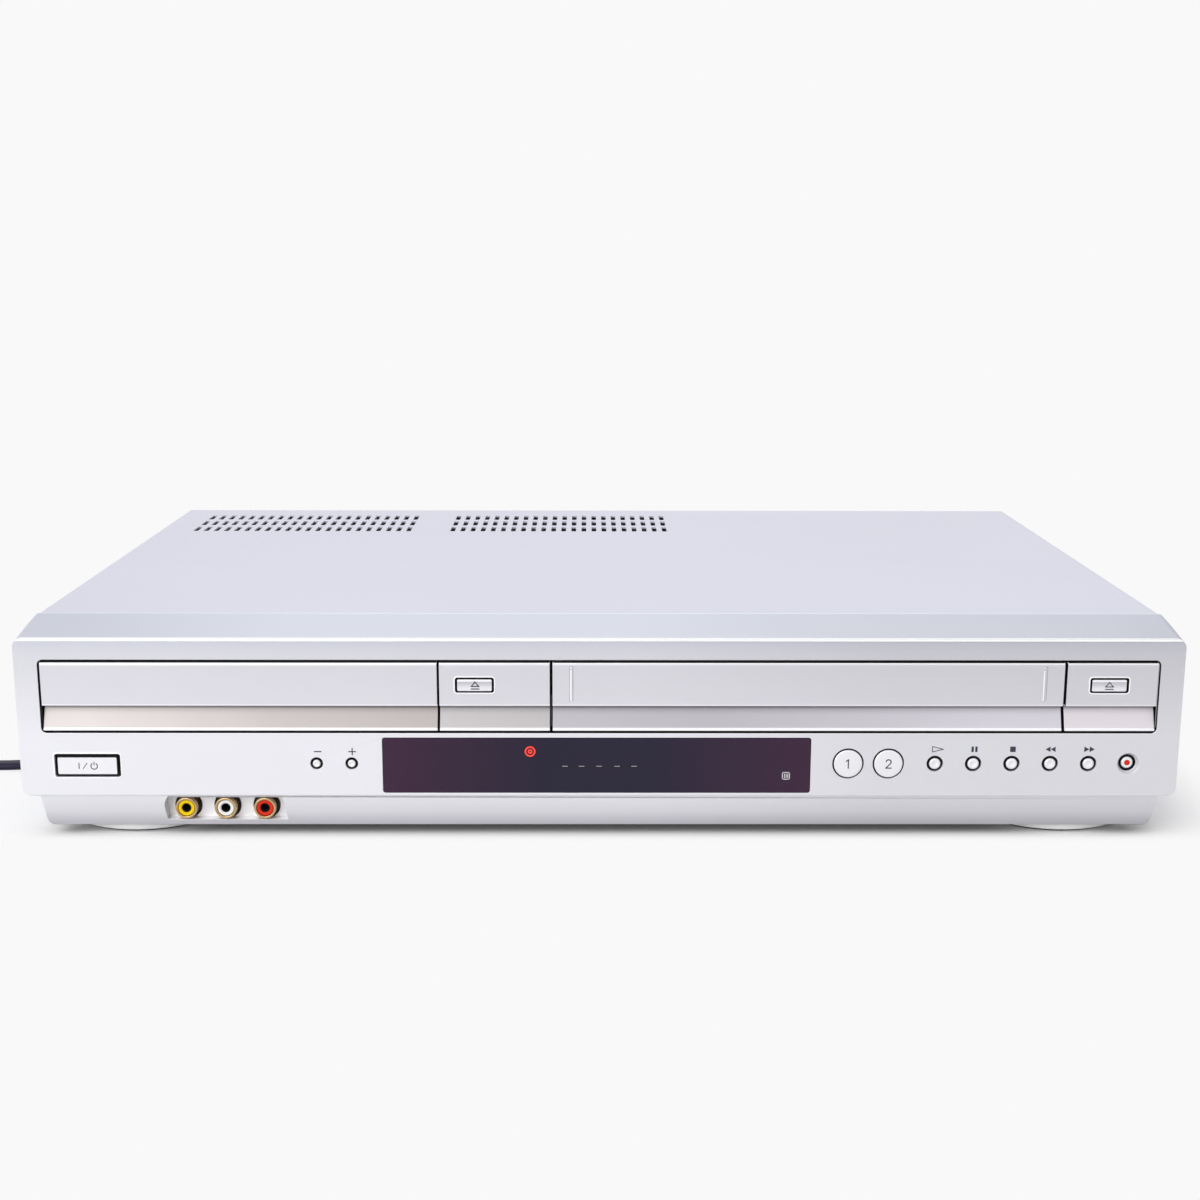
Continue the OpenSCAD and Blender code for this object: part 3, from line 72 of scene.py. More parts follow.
def make_camera():
    """A camera a little above the player, looking slightly down on it."""
    bpy.ops.object.camera_add()
    camera = bpy.context.object
    camera.matrix_world = (Matrix.Translation(CAMERA_PLACE)
                           @ Matrix.Rotation(-CAMERA_YAW, 4, "Z")
                           @ Matrix.Rotation(math.pi / 2 - CAMERA_PITCH, 4, "X")
                           @ Matrix.Rotation(CAMERA_ROLL, 4, "Z"))
    camera.data.lens = CAMERA_LENS
    camera.data.sensor_width = CAMERA_SENSOR
    camera.data.clip_end = CAMERA_REACH
    bpy.context.scene.camera = camera


# ---- shader maths

def plug_in(tree, socket, value):
    """Links a value to a socket, or sets the socket to it."""
    if isinstance(value, Value):
        tree.links.new(value.socket, socket)
    elif isinstance(value, bpy.types.NodeSocket):
        tree.links.new(value, socket)
    else:
        socket.default_value = value


def shader_math(tree, operation, *values):
    """One math node, with the values in the order of its sockets."""
    node = tree.nodes.new("ShaderNodeMath")
    node.operation = operation
    for socket, value in zip(node.inputs, values):
        plug_in(tree, socket, value)
    return Value(tree, node.outputs[0])


def operator(operation, swapped=False):
    """The method that makes a math node of an arithmetic operator."""
    def method(value, other):
        return shader_math(value.tree, operation, *((other, value) if swapped else (value, other)))
    return method


class Value:
    """A number that varies over a surface, so that shader maths is written as an expression."""

    def __init__(self, tree, socket):
        self.tree = tree
        self.socket = socket

    def math(self, operation, *others):
        return shader_math(self.tree, operation, self, *others)

    def size(self):
        return self.math("ABSOLUTE")

    def clamped(self):
        return self.math("MAXIMUM", 0.0).math("MINIMUM", 1.0)

    __add__ = __radd__ = operator("ADD")
    __mul__ = __rmul__ = operator("MULTIPLY")
    __sub__ = operator("SUBTRACT")
    __rsub__ = operator("SUBTRACT", swapped=True)
    __truediv__ = operator("DIVIDE")


def rays(tree, *kinds):
    """For each kind of ray, a value that is 1 for it and 0 for the others."""
    path = tree.nodes.new("ShaderNodeLightPath")
    return [Value(tree, path.outputs[f"Is {kind} Ray"]) for kind in kinds]


class Finish:
    """One material: a Principled shader, and the methods that add other nodes."""

    def __init__(self, name, **constants):
        self.material = bpy.data.materials.new(name)
        self.material.use_nodes = True
        self.tree = self.material.node_tree
        self.shader = self.tree.nodes["Principled BSDF"]
        self.spot = self.add("TexCoord").outputs["Object"]
        for socket, value in constants.items():
            self.set(socket.replace("_", " "), value)

    def set(self, socket, value):
        plug_in(self.tree, self.shader.inputs[socket], value)

    def add(self, kind, **values):
        node = self.tree.nodes.new("ShaderNode" + kind)
        for socket, value in values.items():
            plug_in(self.tree, node.inputs[socket.replace("_", " ")], value)
        return node

    def axes(self):
        """The three object coordinates in metres."""
        parts = self.add("SeparateXYZ", Vector=self.spot).outputs
        return [Value(self.tree, part) for part in parts]

    def noise(self, scale, detail, stretch=None):
        """Noise from 0 to 1 with so many lumps a metre, stretched along the axes."""
        spot = self.spot
        if stretch:
            spot = self.add("Mapping", Vector=spot, Scale=stretch).outputs["Vector"]
        node = self.add("TexNoise", Vector=spot, Scale=scale, Detail=detail)
        return Value(self.tree, node.outputs["Fac"])

    def mix(self, share, low, high, way="MIX"):
        """A colour between two by share, or another way of mixing them."""
        node = self.add("Mix")
        node.data_type = "RGBA"
        node.blend_type = way
        for i, value in ((0, share), (6, low), (7, high)):
            plug_in(self.tree, node.inputs[i],
                    (*value, 1.0) if isinstance(value, tuple) else value)
        return node.outputs[2]

    def ramp(self, share, stops):
        """A colour that runs through the stops."""
        node = self.add("ValToRGB", Fac=share)
        elements = node.color_ramp.elements
        while len(elements) < len(stops):
            elements.new(1.0)
        for element, (place, *colour) in zip(elements, stops):
            element.position = place
            element.color = (*colour, 1.0)
        return node.outputs["Color"]

    def bump(self, height, strength, distance):
        node = self.add("Bump", Height=height, Strength=strength, Distance=distance)
        self.set("Normal", node.outputs["Normal"])


# ---- finishes

def shaded(colour, by):
    """The colour, lighter or darker by that factor."""
    return tuple(min(1.0, channel * by) for channel in colour)


def uneven(colour, spread):
    """The two ends of a colour that is a little uneven."""
    return shaded(colour, 1 - spread), shaded(colour, 1 + spread)


def flaked(finish, low, high):
    """A colour between two, by fine flakes and slow drifts."""
    flakes = finish.noise(9000, 1.0)
    drift = finish.noise(9, 2.0)
    return finish.mix(drift * 0.6 + flakes * 0.4, low, high)


def coated(finish, tone, roughness, metallic, peel=0.02):
    """Paint of that tone, with faint handling marks and the slight peel of a spray coat."""
    finish.set("Base Color", tone)
    finish.set("Roughness", roughness - 0.04 + finish.noise(45, 5.0) * 0.08)
    finish.set("Metallic", metallic)
    finish.bump(finish.noise(2600, 2.0), peel, 0.05 * MM)
    return finish.material


def painted(name, colour, roughness=0.38, metallic=0.25, coat=0.15, speckle=0.05, peel=0.02):
    """Silver paint of one tone."""
    finish = Finish(name, Coat_Weight=coat, Coat_Roughness=0.25)
    tone = flaked(finish, *uneven(colour, speckle))
    return coated(finish, tone, roughness, metallic, peel)


def silver_with_painted_light(name, stops, low=0.0, high=0.082, across=None):
    """Silver paint whose tone changes with height: painted light and shade that stand in for how
    the lamps fall on an upright face.

    The stops run from one height to another in metres. The tone may change sideways too, as a
    painted falloff of light: across is from one x to another, and from one share of the tone to
    another.
    """
    finish = Finish(name, Coat_Weight=0.15, Coat_Roughness=0.25)
    x, _, z = finish.axes()
    tone = finish.ramp(((z - low) / (high - low)).clamped(), stops)
    tone = finish.mix(1.0, tone, flaked(finish, (0.93,) * 3, (1.0,) * 3), "MULTIPLY")
    if across:
        start, end, first, last = across
        shares = finish.mix(((x - start) / (end - start)).clamped(), (first,) * 3, (last,) * 3)
        tone = finish.mix(1.0, tone, shares, "MULTIPLY")
    return coated(finish, tone, 0.38, 0.25)


def band_paint_with_shade(name, colour, across=None):
    """The band's paint, with painted shade that darkens it under the step above it."""
    shares = ((0.0, 1), (0.62, 0.97), (0.84, 0.8), (0.875, 0.5), (1.0, 0.4))
    stops = [(place, *shaded(colour, share)) for place, share in shares]
    return silver_with_painted_light(name, stops, 0.0433, 0.0518, across)


def moulded(name, colour, roughness=0.5, grain=0.25, speckle=0.12, shine=0.5):
    """Moulded plastic or rubber: a spark-eroded grain and slightly uneven gloss."""
    finish = Finish(name, Specular_IOR_Level=shine)
    tone = finish.noise(60, 4.0)
    finish.set("Base Color", finish.mix(tone, *uneven(colour, speckle)))
    finish.set("Roughness", roughness - 0.06 + finish.noise(150, 3.0) * 0.12)
    finish.bump(finish.noise(3000, 2.0), grain, 0.03 * MM)
    return finish.material


def plated(name, colour, roughness, grain=0.1, brushed=None):
    """Bare or plated metal: cloudy patches, and a fine grain along one way where it is brushed."""
    finish = Finish(name, Metallic=1.0)
    cloud = finish.noise(30, 4.0)
    finish.set("Base Color", finish.mix(cloud, *uneven(colour, 0.1)))
    fine = finish.noise(700, 4.0, brushed)
    finish.set("Roughness", roughness - 0.07 + fine * 0.14)
    finish.bump(fine, grain, 0.02 * MM)
    return finish.material


def lit(name, colour, strength):
    """A lit mark behind the pane, a little uneven as a phosphor is."""
    finish = Finish(name, Roughness=0.4, Emission_Strength=strength)
    tone = finish.noise(900, 2.0)
    finish.set("Base Color", finish.mix(tone, shaded(colour, 0.5), shaded(colour, 0.6)))
    finish.set("Emission Color", finish.mix(tone, shaded(colour, 0.85), colour))
    return finish.material


def tinted_window():
    """Dark glass, violet in the middle and wine red towards both ends."""
    finish = Finish("smoked_pane", Specular_IOR_Level=0.22)
    x, _, _ = finish.axes()
    end = ((x.size() - 0.02) / 0.055).clamped()
    cloud = finish.noise(25, 3.0)
    violet = finish.mix(cloud, (0.013, 0.010, 0.026), (0.017, 0.013, 0.034))
    red = finish.mix(cloud, (0.034, 0.012, 0.034), (0.044, 0.016, 0.042))
    finish.set("Base Color", finish.mix(end, violet, red))
    finish.set("Roughness", 0.12 + finish.noise(200, 3.0) * 0.08)
    return finish.material


SPRAY_DEPTH = 0.7 * MM


def hole_wall():
    """The wall of a button hole: silver as deep as the spray reaches in, and dark behind: bare
    moulding, and painted shade deep in the hole.
    """
    finish = Finish("hole_wall", Roughness=0.45)
    _, y, _ = finish.axes()
    depth = ((y - (FRONT_Y + SPRAY_DEPTH)) / MM).clamped()
    rough = finish.noise(400, 2.0)
    silver = finish.mix(rough, (0.50, 0.50, 0.54), (0.60, 0.60, 0.64))
    dark = finish.mix(rough, (0.010, 0.010, 0.012), (0.014, 0.014, 0.016))
    finish.set("Base Color", finish.mix(depth, silver, dark))
    return finish.material


FINISHES = {
    "silver_plastic": painted("silver_paint", (0.60, 0.60, 0.67)),
    "champagne_silver": painted("door_paint", (0.60, 0.59, 0.63)),
    "painted_cover": painted("cover_paint", (0.605, 0.612, 0.715), roughness=0.42, peel=0.05),
    "zinc_steel": plated("zinc_plate", (0.52, 0.52, 0.53), 0.34, 0.12, (1, 12, 1)),
    "screw_steel": plated("blackened_steel", (0.10, 0.10, 0.11), 0.35),
    "black_plastic": moulded("black_moulding", (0.022, 0.022, 0.026)),
    "dark_plastic": moulded("dark_moulding", (0.06, 0.06, 0.068)),
    "black_rubber": moulded("rubber", (0.018, 0.018, 0.019), 0.75, 0.4),
    "smoked_window": moulded("smoked_window", (0.012, 0.008, 0.03), 0.1, 0.0),
    "gilt_brass": plated("gilt_brass", (0.55, 0.38, 0.20), 0.26),
    "nickel": plated("nickel", (0.66, 0.65, 0.62), 0.2),
    "yellow_plastic": moulded("yellow_moulding", (0.80, 0.55, 0.003), 0.35, 0.1, shine=0.2),
    "white_plastic": moulded("white_moulding", (0.80, 0.80, 0.78), 0.35, 0.1, 0.03),
    "red_plastic": moulded("red_moulding", (0.62, 0.025, 0.008), 0.35, 0.1, shine=0.2),
    "green_plastic": moulded("green_moulding", (0.04, 0.30, 0.10), 0.35, 0.1),
    "cord_plastic": moulded("cord_jacket", (0.012, 0.010, 0.030), 0.45, 0.3, shine=0.2),
    "circuit_board": moulded("circuit_board", (0.012, 0.06, 0.026), 0.4, 0.1),
    "dark_metal": plated("cast_metal", (0.20, 0.20, 0.22), 0.5, 0.3),
    "drum_alloy": plated("turned_alloy", (0.70, 0.70, 0.72), 0.22, 0.1, (1, 1, 30)),
}

INK = moulded("grey_ink", (0.022, 0.022, 0.045), 0.5, 0.0, 0.05)
PALE_INK = moulded("pale_ink", (0.62, 0.62, 0.64), 0.5, 0.0, 0.05)
PALE_SIGN = moulded("soft_grey_ink", (0.10, 0.10, 0.125), 0.5, 0.0, 0.05)
# Dark moulding: the unpainted inside of parts, which also stands in as painted shade in gaps, holes
# and under the plinth.
DARK = moulded("unpainted_moulding_and_shade", (0.012, 0.012, 0.014), 0.6, 0.2)
HOLE_WALL = hole_wall()
WINDOW = tinted_window()
GLOW_RED = lit("red_glow", (0.95, 0.045, 0.02), 0.9)
GLOW_PALE = lit("pale_glow", (0.45, 0.45, 0.42), 0.35)
CAP_PAINT = painted("cap_paint", (0.78, 0.78, 0.81), 0.3, 0.15, 0.3, 0.03)
# Highlight paint: a lighter paint that stands in for the highlights on edges, rims and grips, and
# for light on the jack bay.
HIGHLIGHT_PAINT = painted("highlight_paint", (0.90, 0.90, 0.93), 0.25, 0.1, 0.4, 0.02)
# The front feet's paint is near white: painted light that offsets the shade under the plinth.
FOOT_PAINTED_LIGHT = painted("foot_painted_light", (0.97, 0.955, 0.975), 0.4, 0.0)
# The front's paint carries painted light and shade: darker on the plinth, lightest from the lip to
# the door row, darker towards the top and on the slope, and darker from left to right.
FRONT_PAINTED_SHADING = silver_with_painted_light("front_painted_shading", [
    (0.07, 0.52, 0.51, 0.555), (0.13, 0.69, 0.69, 0.735), (0.2, 0.72, 0.72, 0.765),
    (0.215, 0.775, 0.775, 0.82), (0.48, 0.765, 0.765, 0.81), (0.88, 0.61, 0.61, 0.655),
    (0.95, 0.525, 0.54, 0.615), (1.0, 0.515, 0.54, 0.625)], across=(0.01, 0.11, 1.0, 0.88))
# The flaps' face paint carries painted highlights along its bottom and top edges, and painted light
# that falls off from left to right.
DOOR_PAINTED_SHADING = silver_with_painted_light("flap_painted_shading", [
    (0.0, 0.84, 0.83, 0.88), (0.035, 0.84, 0.83, 0.88), (0.05, 0.66, 0.65, 0.70),
    (0.935, 0.62, 0.61, 0.66), (0.955, 0.93, 0.93, 0.95), (1.0, 0.93, 0.93, 0.95)],
    0.052, 0.069, (0.01, 0.11, 1.0, 0.94))
# The eject keys' paint carries painted shade, darker towards the top, and a painted highlight along
# the top edge.
EJECT_PAINTED_SHADING = silver_with_painted_light("eject_painted_shading", [
    (0.0, 0.80, 0.80, 0.84), (0.3, 0.74, 0.74, 0.78), (0.55, 0.60, 0.60, 0.64),
    (0.80, 0.50, 0.50, 0.54), (0.86, 0.86, 0.86, 0.90), (1.0, 0.88, 0.88, 0.92)],
    0.0579, 0.0621)
# The tray band is painted lighter towards its left end, a painted reflection, and the cassette band
# lighter towards its right, painted light.
BAND_PAINTS = {
    "tray_door": band_paint_with_shade("tray_band_paint", (0.43, 0.39, 0.385), (-0.19, -0.12, 1.09, 0.9)),
    "centre_trim": band_paint_with_shade("centre_band_paint", (0.44, 0.42, 0.43)),
    "cassette_door": band_paint_with_shade("cassette_band_paint", (0.44, 0.42, 0.46), (0.04, 0.15, 1.0, 1.36)),
    "right_trim": band_paint_with_shade("right_band_paint", (0.67, 0.63, 0.67)),
}


def dress_nodes():
    """Every CAD node that stays gets its slot's finish, but the front feet get a near-white paint,
    painted light that offsets the shade under the plinth.
    """
    for name, node in frame["nodes"].items():
        node.data.materials.clear()
        node.data.materials.append(FOOT_PAINTED_LIGHT if name == "front_feet" else FINISHES[SLOT_OF[name]])


# ---- modelling by hand

def at_front(x, y, z):
    """A place in metres from millimetres."""
    return Vector((x * MM, y * MM + FRONT_Y, z * MM))


def in_mm(place):
    """A place in millimetres from metres."""
    return Vector((place.x / MM, (place.y - FRONT_Y) / MM, place.z / MM))


def spot_of(part):
    """The middle of a face or edge in millimetres."""
    return in_mm(sum((corner.co for corner in part.verts), Vector()) / len(part.verts))


def only(piece):
    """Makes a piece the one selected and active object."""
    bpy.ops.object.select_all(action="DESELECT")
    piece.select_set(True)
    bpy.context.view_layer.objects.active = piece


def edit(piece):
    """Opens a piece in edit mode, by its vertices, all of them selected."""
    only(piece)
    bpy.ops.object.mode_set(mode="EDIT")
    bpy.context.tool_settings.mesh_select_mode = (True, False, False)
    select_all()


def leave_edit():
    bpy.ops.object.mode_set(mode="OBJECT")


def select_all():
    """In edit mode, selects all of the mesh."""
    bpy.ops.mesh.select_all(action="SELECT")


def face_outward():
    """In edit mode, turns all faces outward."""
    select_all()
    bpy.ops.mesh.normals_make_consistent(inside=False)


def pick(kind, test):
    """In edit mode, selects only the faces or edges that pass the test, and says how many."""
    bpy.context.tool_settings.mesh_select_mode = (False, kind == "edges", kind == "faces")
    bpy.ops.mesh.select_all(action="DESELECT")
    mesh = bmesh.from_edit_mesh(bpy.context.edit_object.data)
    found = [part for part in getattr(mesh, kind) if test(part)]
    for part in found:
        part.select_set(True)
    mesh.select_flush_mode()
    bmesh.update_edit_mesh(bpy.context.edit_object.data)
    return len(found)


def bevel(width, segments):
    """In edit mode, rounds the picked edges."""
    bpy.ops.mesh.bevel(offset=width * MM, offset_type="OFFSET", segments=segments, affect="EDGES",
                       clamp_overlap=False)


def soften(width, where=None, segments=2, sharp=25):
    """In edit mode, rounds the sharp edges, or those of them whose middles pass the test."""
    limit = math.radians(sharp)

    def chosen(edge):
        return (edge.is_manifold and edge.calc_face_angle() > limit
                and (where is None or where(spot_of(edge))))

    if pick("edges", chosen):
        bevel(width, segments)


def smooth(piece, angle):
    """Leaves edit mode, smooths the rounded edges and keeps the flat faces flat."""
    leave_edit()
    bpy.ops.object.shade_smooth_by_angle(angle=math.radians(angle))
    even = piece.modifiers.new("even_light", "WEIGHTED_NORMAL")
    even.keep_sharp = True
    bpy.ops.object.modifier_apply(modifier=even.name)


def named(piece, name):
    piece.name = name
    piece.data.name = name
    return piece


def reshape(piece, move):
    """In edit mode, moves each corner by what the move says for its place, in millimetres."""
    mesh = bmesh.from_edit_mesh(piece.data)
    for corner in mesh.verts:
        corner.co += Vector(move(in_mm(corner.co))) * MM
    bmesh.update_edit_mesh(piece.data)


def copied(node, name):
    """A copy of a CAD node's mesh in edit mode, its triangles merged and its flat faces joined."""
    mesh = frame["nodes"][node].data.copy()
    mesh.name = name
    piece = bpy.data.objects.new(name, mesh)
    bpy.context.scene.collection.objects.link(piece)
    edit(piece)
    bpy.ops.mesh.remove_doubles(threshold=0.01 * MM)
    bpy.ops.mesh.dissolve_limited(angle_limit=math.radians(0.8))
    return piece


def finished(piece, body, slot, finish=None):
    """Gives a piece its finish, the slot's unless one is given, and its body."""
    piece.data.materials.clear()
    piece.data.materials.append(finish or FINISHES[slot])
    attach(piece, body)
    return piece


def stand_in(piece, *nodes, slot=None, finish=None):
    """Lets a piece take the place of CAD nodes, with the first one's body, and the finish of its
    slot or of another.
    """
    finished(piece, BODY_OF[nodes[0]], slot or SLOT_OF[nodes[0]], finish)
    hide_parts(*nodes)
    return piece


def lined(piece, finish, test):
    """Gives one more finish to the faces whose middle and normal pass the test."""
    piece.data.materials.append(finish)
    slot = len(piece.data.materials) - 1
    for face in piece.data.polygons:
        if test(in_mm(face.center), face.normal):
            face.material_index = slot


def dressed(node, name, width, where=None, finish=None, angle=35):
    """A CAD node's shape with its edges rounded as a moulding's or a pressing's are."""
    piece = copied(node, name)
    soften(width, where)
    smooth(piece, angle)
    return stand_in(piece, node, finish=finish)


def turned(name, profile, place, along=(0, 1, 0), steps=32, angle=35):
    """A closed shape of revolution, drawn point by point as (radius, distance along)."""
    along = Vector(along)
    across = UPRIGHT if abs(along.z) < 0.5 else Vector((1, 0, 0))
    bpy.ops.mesh.primitive_plane_add(size=MM, location=(0, 0, 0))
    piece = named(bpy.context.object, name)
    edit(piece)
    bpy.ops.mesh.merge(type="CENTER")
    spots = [Vector(place) + (across * r + along * d) * MM for r, d in profile]
    bpy.ops.transform.translate(value=spots[0])
    for start, end in zip(spots, spots[1:]):
        bpy.ops.mesh.extrude_region_move(TRANSFORM_OT_translate={"value": end - start})
    select_all()
    bpy.ops.mesh.spin(steps=steps, angle=2 * math.pi, center=place, axis=along)
    select_all()
    bpy.ops.mesh.remove_doubles(threshold=0.005 * MM)
    face_outward()
    if angle:
        smooth(piece, angle)
    else:
        leave_edit()
    return piece


def boxed(name, x0, x1, y0, y1, z0, z1):
    """A block in edit mode."""
    centre = at_front((x0 + x1) / 2, (y0 + y1) / 2, (z0 + z1) / 2)
    bpy.ops.mesh.primitive_cube_add(size=1, location=centre)
    piece = named(bpy.context.object, name)
    piece.scale = ((x1 - x0) * MM, (y1 - y0) * MM, (z1 - z0) * MM)
    bpy.ops.object.transform_apply()
    edit(piece)
    return piece


def joined(pieces, name):
    """Joins pieces into the first of them."""
    only(pieces[0])
    for piece in pieces:
        piece.select_set(True)
    bpy.ops.object.join()
    return named(bpy.context.object, name)


def repeated(piece, moves, name):
    """Copies a piece to each move in millimetres, each copy with its own mesh, and joins them."""
    leave_edit()
    copies = []
    for move in moves:
        copy = piece.copy()
        copy.data = piece.data.copy()
        copy.data.transform(Matrix.Translation(Vector(move) * MM))
        bpy.context.scene.collection.objects.link(copy)
        copies.append(copy)
    return joined([piece, *copies], name)


def cut(piece, cutter):
    """Cuts a shape out of a piece, and then removes the shape."""
    leave_edit()
    only(piece)
    taken = piece.modifiers.new("cut", "BOOLEAN")
    taken.object = cutter
    taken.operation = "DIFFERENCE"
    taken.solver = "EXACT"
    bpy.ops.object.modifier_apply(modifier=taken.name)
    bpy.data.objects.remove(cutter)


# ---- printed marks

INK_T = 0.05
RIM_T = 0.16


def outline(points, y, fill):
    """A flat outline with its corners at (x, z), at depth y, filled or open."""
    bpy.ops.mesh.primitive_circle_add(vertices=len(points), fill_type=fill, radius=MM)
    piece = bpy.context.object
    for corner, (x, z) in zip(piece.data.vertices, points):
        corner.co = at_front(x, y, z)
    bpy.ops.object.transform_apply()
    return piece


def thicken(depth):
    """In edit mode, draws a flat shape out of the front."""
    select_all()
    bpy.ops.mesh.extrude_region_move(TRANSFORM_OT_translate={"value": (0, -depth * MM, 0)})
    face_outward()


def mark(points, y):
    """One flat printed shape with its corners at (x, z), standing just out of the face at y."""
    piece = outline(points, y, "NGON")
    edit(piece)
    thicken(INK_T)
    leave_edit()
    return piece


def bar(x0, x1, z0, z1, y=0):
    return mark([(x0, z0), (x1, z0), (x1, z1), (x0, z1)], y)


def line(points, width, y=0):
    """A drawn line as one mark for each straight stretch."""
    marks = []
    for (x0, z0), (x1, z1) in zip(points, points[1:]):
        long = math.hypot(x1 - x0, z1 - z0)
        dx, dz = (x1 - x0) / long * width / 2, (z1 - z0) / long * width / 2
        marks.append(mark([(x0 - dx - dz, z0 - dz + dx), (x1 + dx - dz, z1 + dz + dx),
                           (x1 + dx + dz, z1 + dz - dx), (x0 - dx + dz, z0 - dz - dx)], y))
    return marks


def square_line(x0, x1, z0, z1, width, y):
    return line([(x0, z0), (x1, z0), (x1, z1), (x0, z1), (x0, z0)], width, y)


def arc_points(x, z, r, start, end, count):
    angles = [math.radians(start + (end - start) * i / count) for i in range(count + 1)]
    return [(x + r * math.cos(angle), z + r * math.sin(angle)) for angle in angles]


def ring_mark(x, z, r_out, r_in, y):
    """A printed ring."""
    profile = [(r_in, y), (r_in, y - INK_T), (r_out, y - INK_T), (r_out, y), (r_in, y)]
    return turned("ring_mark", profile, at_front(x, 0, z), steps=36, angle=0)


def rounded_points(x, z, w, h, r):
    """The outline of a rectangle with rounded corners."""
    corners = ((1, 1, 0), (-1, 1, 90), (-1, -1, 180), (1, -1, 270))
    return [spot for sx, sz, start in corners
            for spot in arc_points(x + sx * (w / 2 - r), z + sz * (h / 2 - r), r,
                                   start, start + 90, 4)]


def make_rim(name, x, z, w, h, width):
    """A thin raised rim round an opening of the front."""
    rims = [outline(rounded_points(x, z, w + 2 * grow, h + 2 * grow, 0.9 + grow), 0, "NOTHING")
            for grow in (0.0, width)]
    rim = joined(rims, name)
    edit(rim)
    bpy.ops.mesh.bridge_edge_loops()
    thicken(RIM_T)
    soften(0.06, lambda p: p.y < -0.1, segments=1)
    smooth(rim, 50)
    # The rim takes the highlight paint: a painted highlight round the opening.
    finished(rim, "case", "silver_plastic", HIGHLIGHT_PAINT)


def printed(name, marks, body="case", finish=INK):
    """Joins the marks of one print and lets it move with what it is printed on."""
    finished(joined(marks, name), body, "dark_plastic", finish)


# ---- front

BUTTON_Z = 30
MARK_Z = 35.6
MARK_HALF = 1.05
LINE_W = 0.28
CAP_FACE = -0.4
SELECT_FACE = CAP_FACE + INK_T
TRANSPORT_XS = [124.4 + 14.3 * i for i in range(5)]
CHANNEL_XS = (-105.3, -92.3)
SELECT_XS = (92.1, 107.1)
RECORD_X = 196.5
RECORD_SEAT = 1.7
POWER_X = -190.1
POWER_Z = 29.2
POWER_FACE = 0.2
EJECT_FACE = 0.1
EJECT_Z = 60.1
DISC_EJECT_X = -46.4
CASSETTE_EJECT_X = 187.6
BAND_TOP = 51.6
BAY_X = (-163.2, -117.4)
GRIP_XS = (-10.9, 163.4)
DASH_XS = (-13.2, -7.0, -0.5, 6.2, 12.5)


def make_transport_signs():
    """The play, pause, stop, rewind and forward signs over their buttons."""
    low, high = MARK_Z - MARK_HALF, MARK_Z + MARK_HALF
    printed("play_sign", line([(123.3, low), (127.3, MARK_Z), (123.3, high), (123.3, low)], LINE_W))
    printed("pause_sign", [bar(x, x + 0.85, low, high) for x in (137.8, 139.2)])
    printed("stop_sign", [bar(152.2, 154.25, low, high)])
    for name, feet, reach in (("rewind_sign", (167.2, 169.1), -1.8),
                              ("forward_sign", (179.8, 181.8), 1.9)):
        printed(name, [mark([(x, low), (x + reach, MARK_Z), (x, high)], 0) for x in feet])


def make_channel_signs():
    """The minus and plus signs over the two channel buttons."""
    down, up = CHANNEL_XS
    z = MARK_Z - 1
    printed("minus_sign", [bar(down - 0.9, down + 1.9, z - 0.2, z + 0.2)])
    printed("plus_sign", [bar(up - 1.1, up + 1.7, z - 0.2, z + 0.2),
                          bar(up + 0.1, up + 0.5, z + 0.21, z + 1.4),
                          bar(up + 0.1, up + 0.5, z - 1.4, z - 0.21)])


def make_button_signs():
    """The numbers 1 and 2, and the power and eject signs, each on its own button."""
    one, two = SELECT_XS
    z = BUTTON_Z
    printed("number_one", line([(one - 0.75, z + 1.0), (one + 0.05, z + 1.6),
                                (one + 0.05, z - 1.6)], 0.4, SELECT_FACE), "select_one_button")
    printed("number_two", line(arc_points(two, z + 0.7, 0.92, 165, -35, 8)
                               + [(two - 0.95, z - 1.6), (two + 1.0, z - 1.6)],
                               0.38, SELECT_FACE), "select_two_button")
    z = POWER_Z - 0.2
    signs = [bar(-193.55, -193.2, z - 1.15, z + 1.15, POWER_FACE)]
    signs += line([(-191.9, z - 1.05), (-190.4, z + 1.05)], LINE_W, POWER_FACE)
    signs += line(arc_points(-187.8, z - 0.1, 1.2, 55, -235, 20), 0.3, POWER_FACE)
    signs.append(bar(-187.95, -187.65, z + 0.15, z + 1.6, POWER_FACE))
    printed("power_sign", signs, "power_button", PALE_SIGN)
    z = EJECT_Z - 0.55
    for body, x, ink in (("disc_eject_button", DISC_EJECT_X + 0.2, INK),
                         ("cassette_eject_button", CASSETTE_EJECT_X, PALE_SIGN)):
        marks = line([(x - 1.4, z), (x, z + 1.7), (x + 1.4, z), (x - 1.4, z)], 0.38, EJECT_FACE)
        marks.append(bar(x - 1.6, x + 1.6, z - 1.15, z - 0.75, EJECT_FACE))
        printed(body.replace("button", "sign"), marks, body, ink)


def make_display():
    """The smoked window, with the clock's dashes, a red disc sign and a small square."""
    window = dressed("display_window", "display_window_pane", 0.12, lambda p: p.y < 1, WINDOW)
    lined(window, DARK, lambda p, n: p.y > 2)
    dashes = [bar(x - 1.0, x + 1.0, 28.8, 29.02, WINDOW_FACE) for x in DASH_XS]
    printed("clock_dashes", dashes, finish=GLOW_PALE)
    rings = [ring_mark(-26.1, 34.6, r_out, r_in, WINDOW_FACE)
             for r_out, r_in in ((2.0, 1.45), (0.85, 0.35))]
    printed("disc_sign", rings, finish=GLOW_RED)
    square = square_line(67.8, 70.4, 23.9, 26.5, 0.3, WINDOW_FACE)
    square += [bar(68.4 + 0.62 * i, 68.7 + 0.62 * i, 24.4, 26.0, WINDOW_FACE) for i in range(3)]
    printed("window_square", square, finish=PALE_INK)


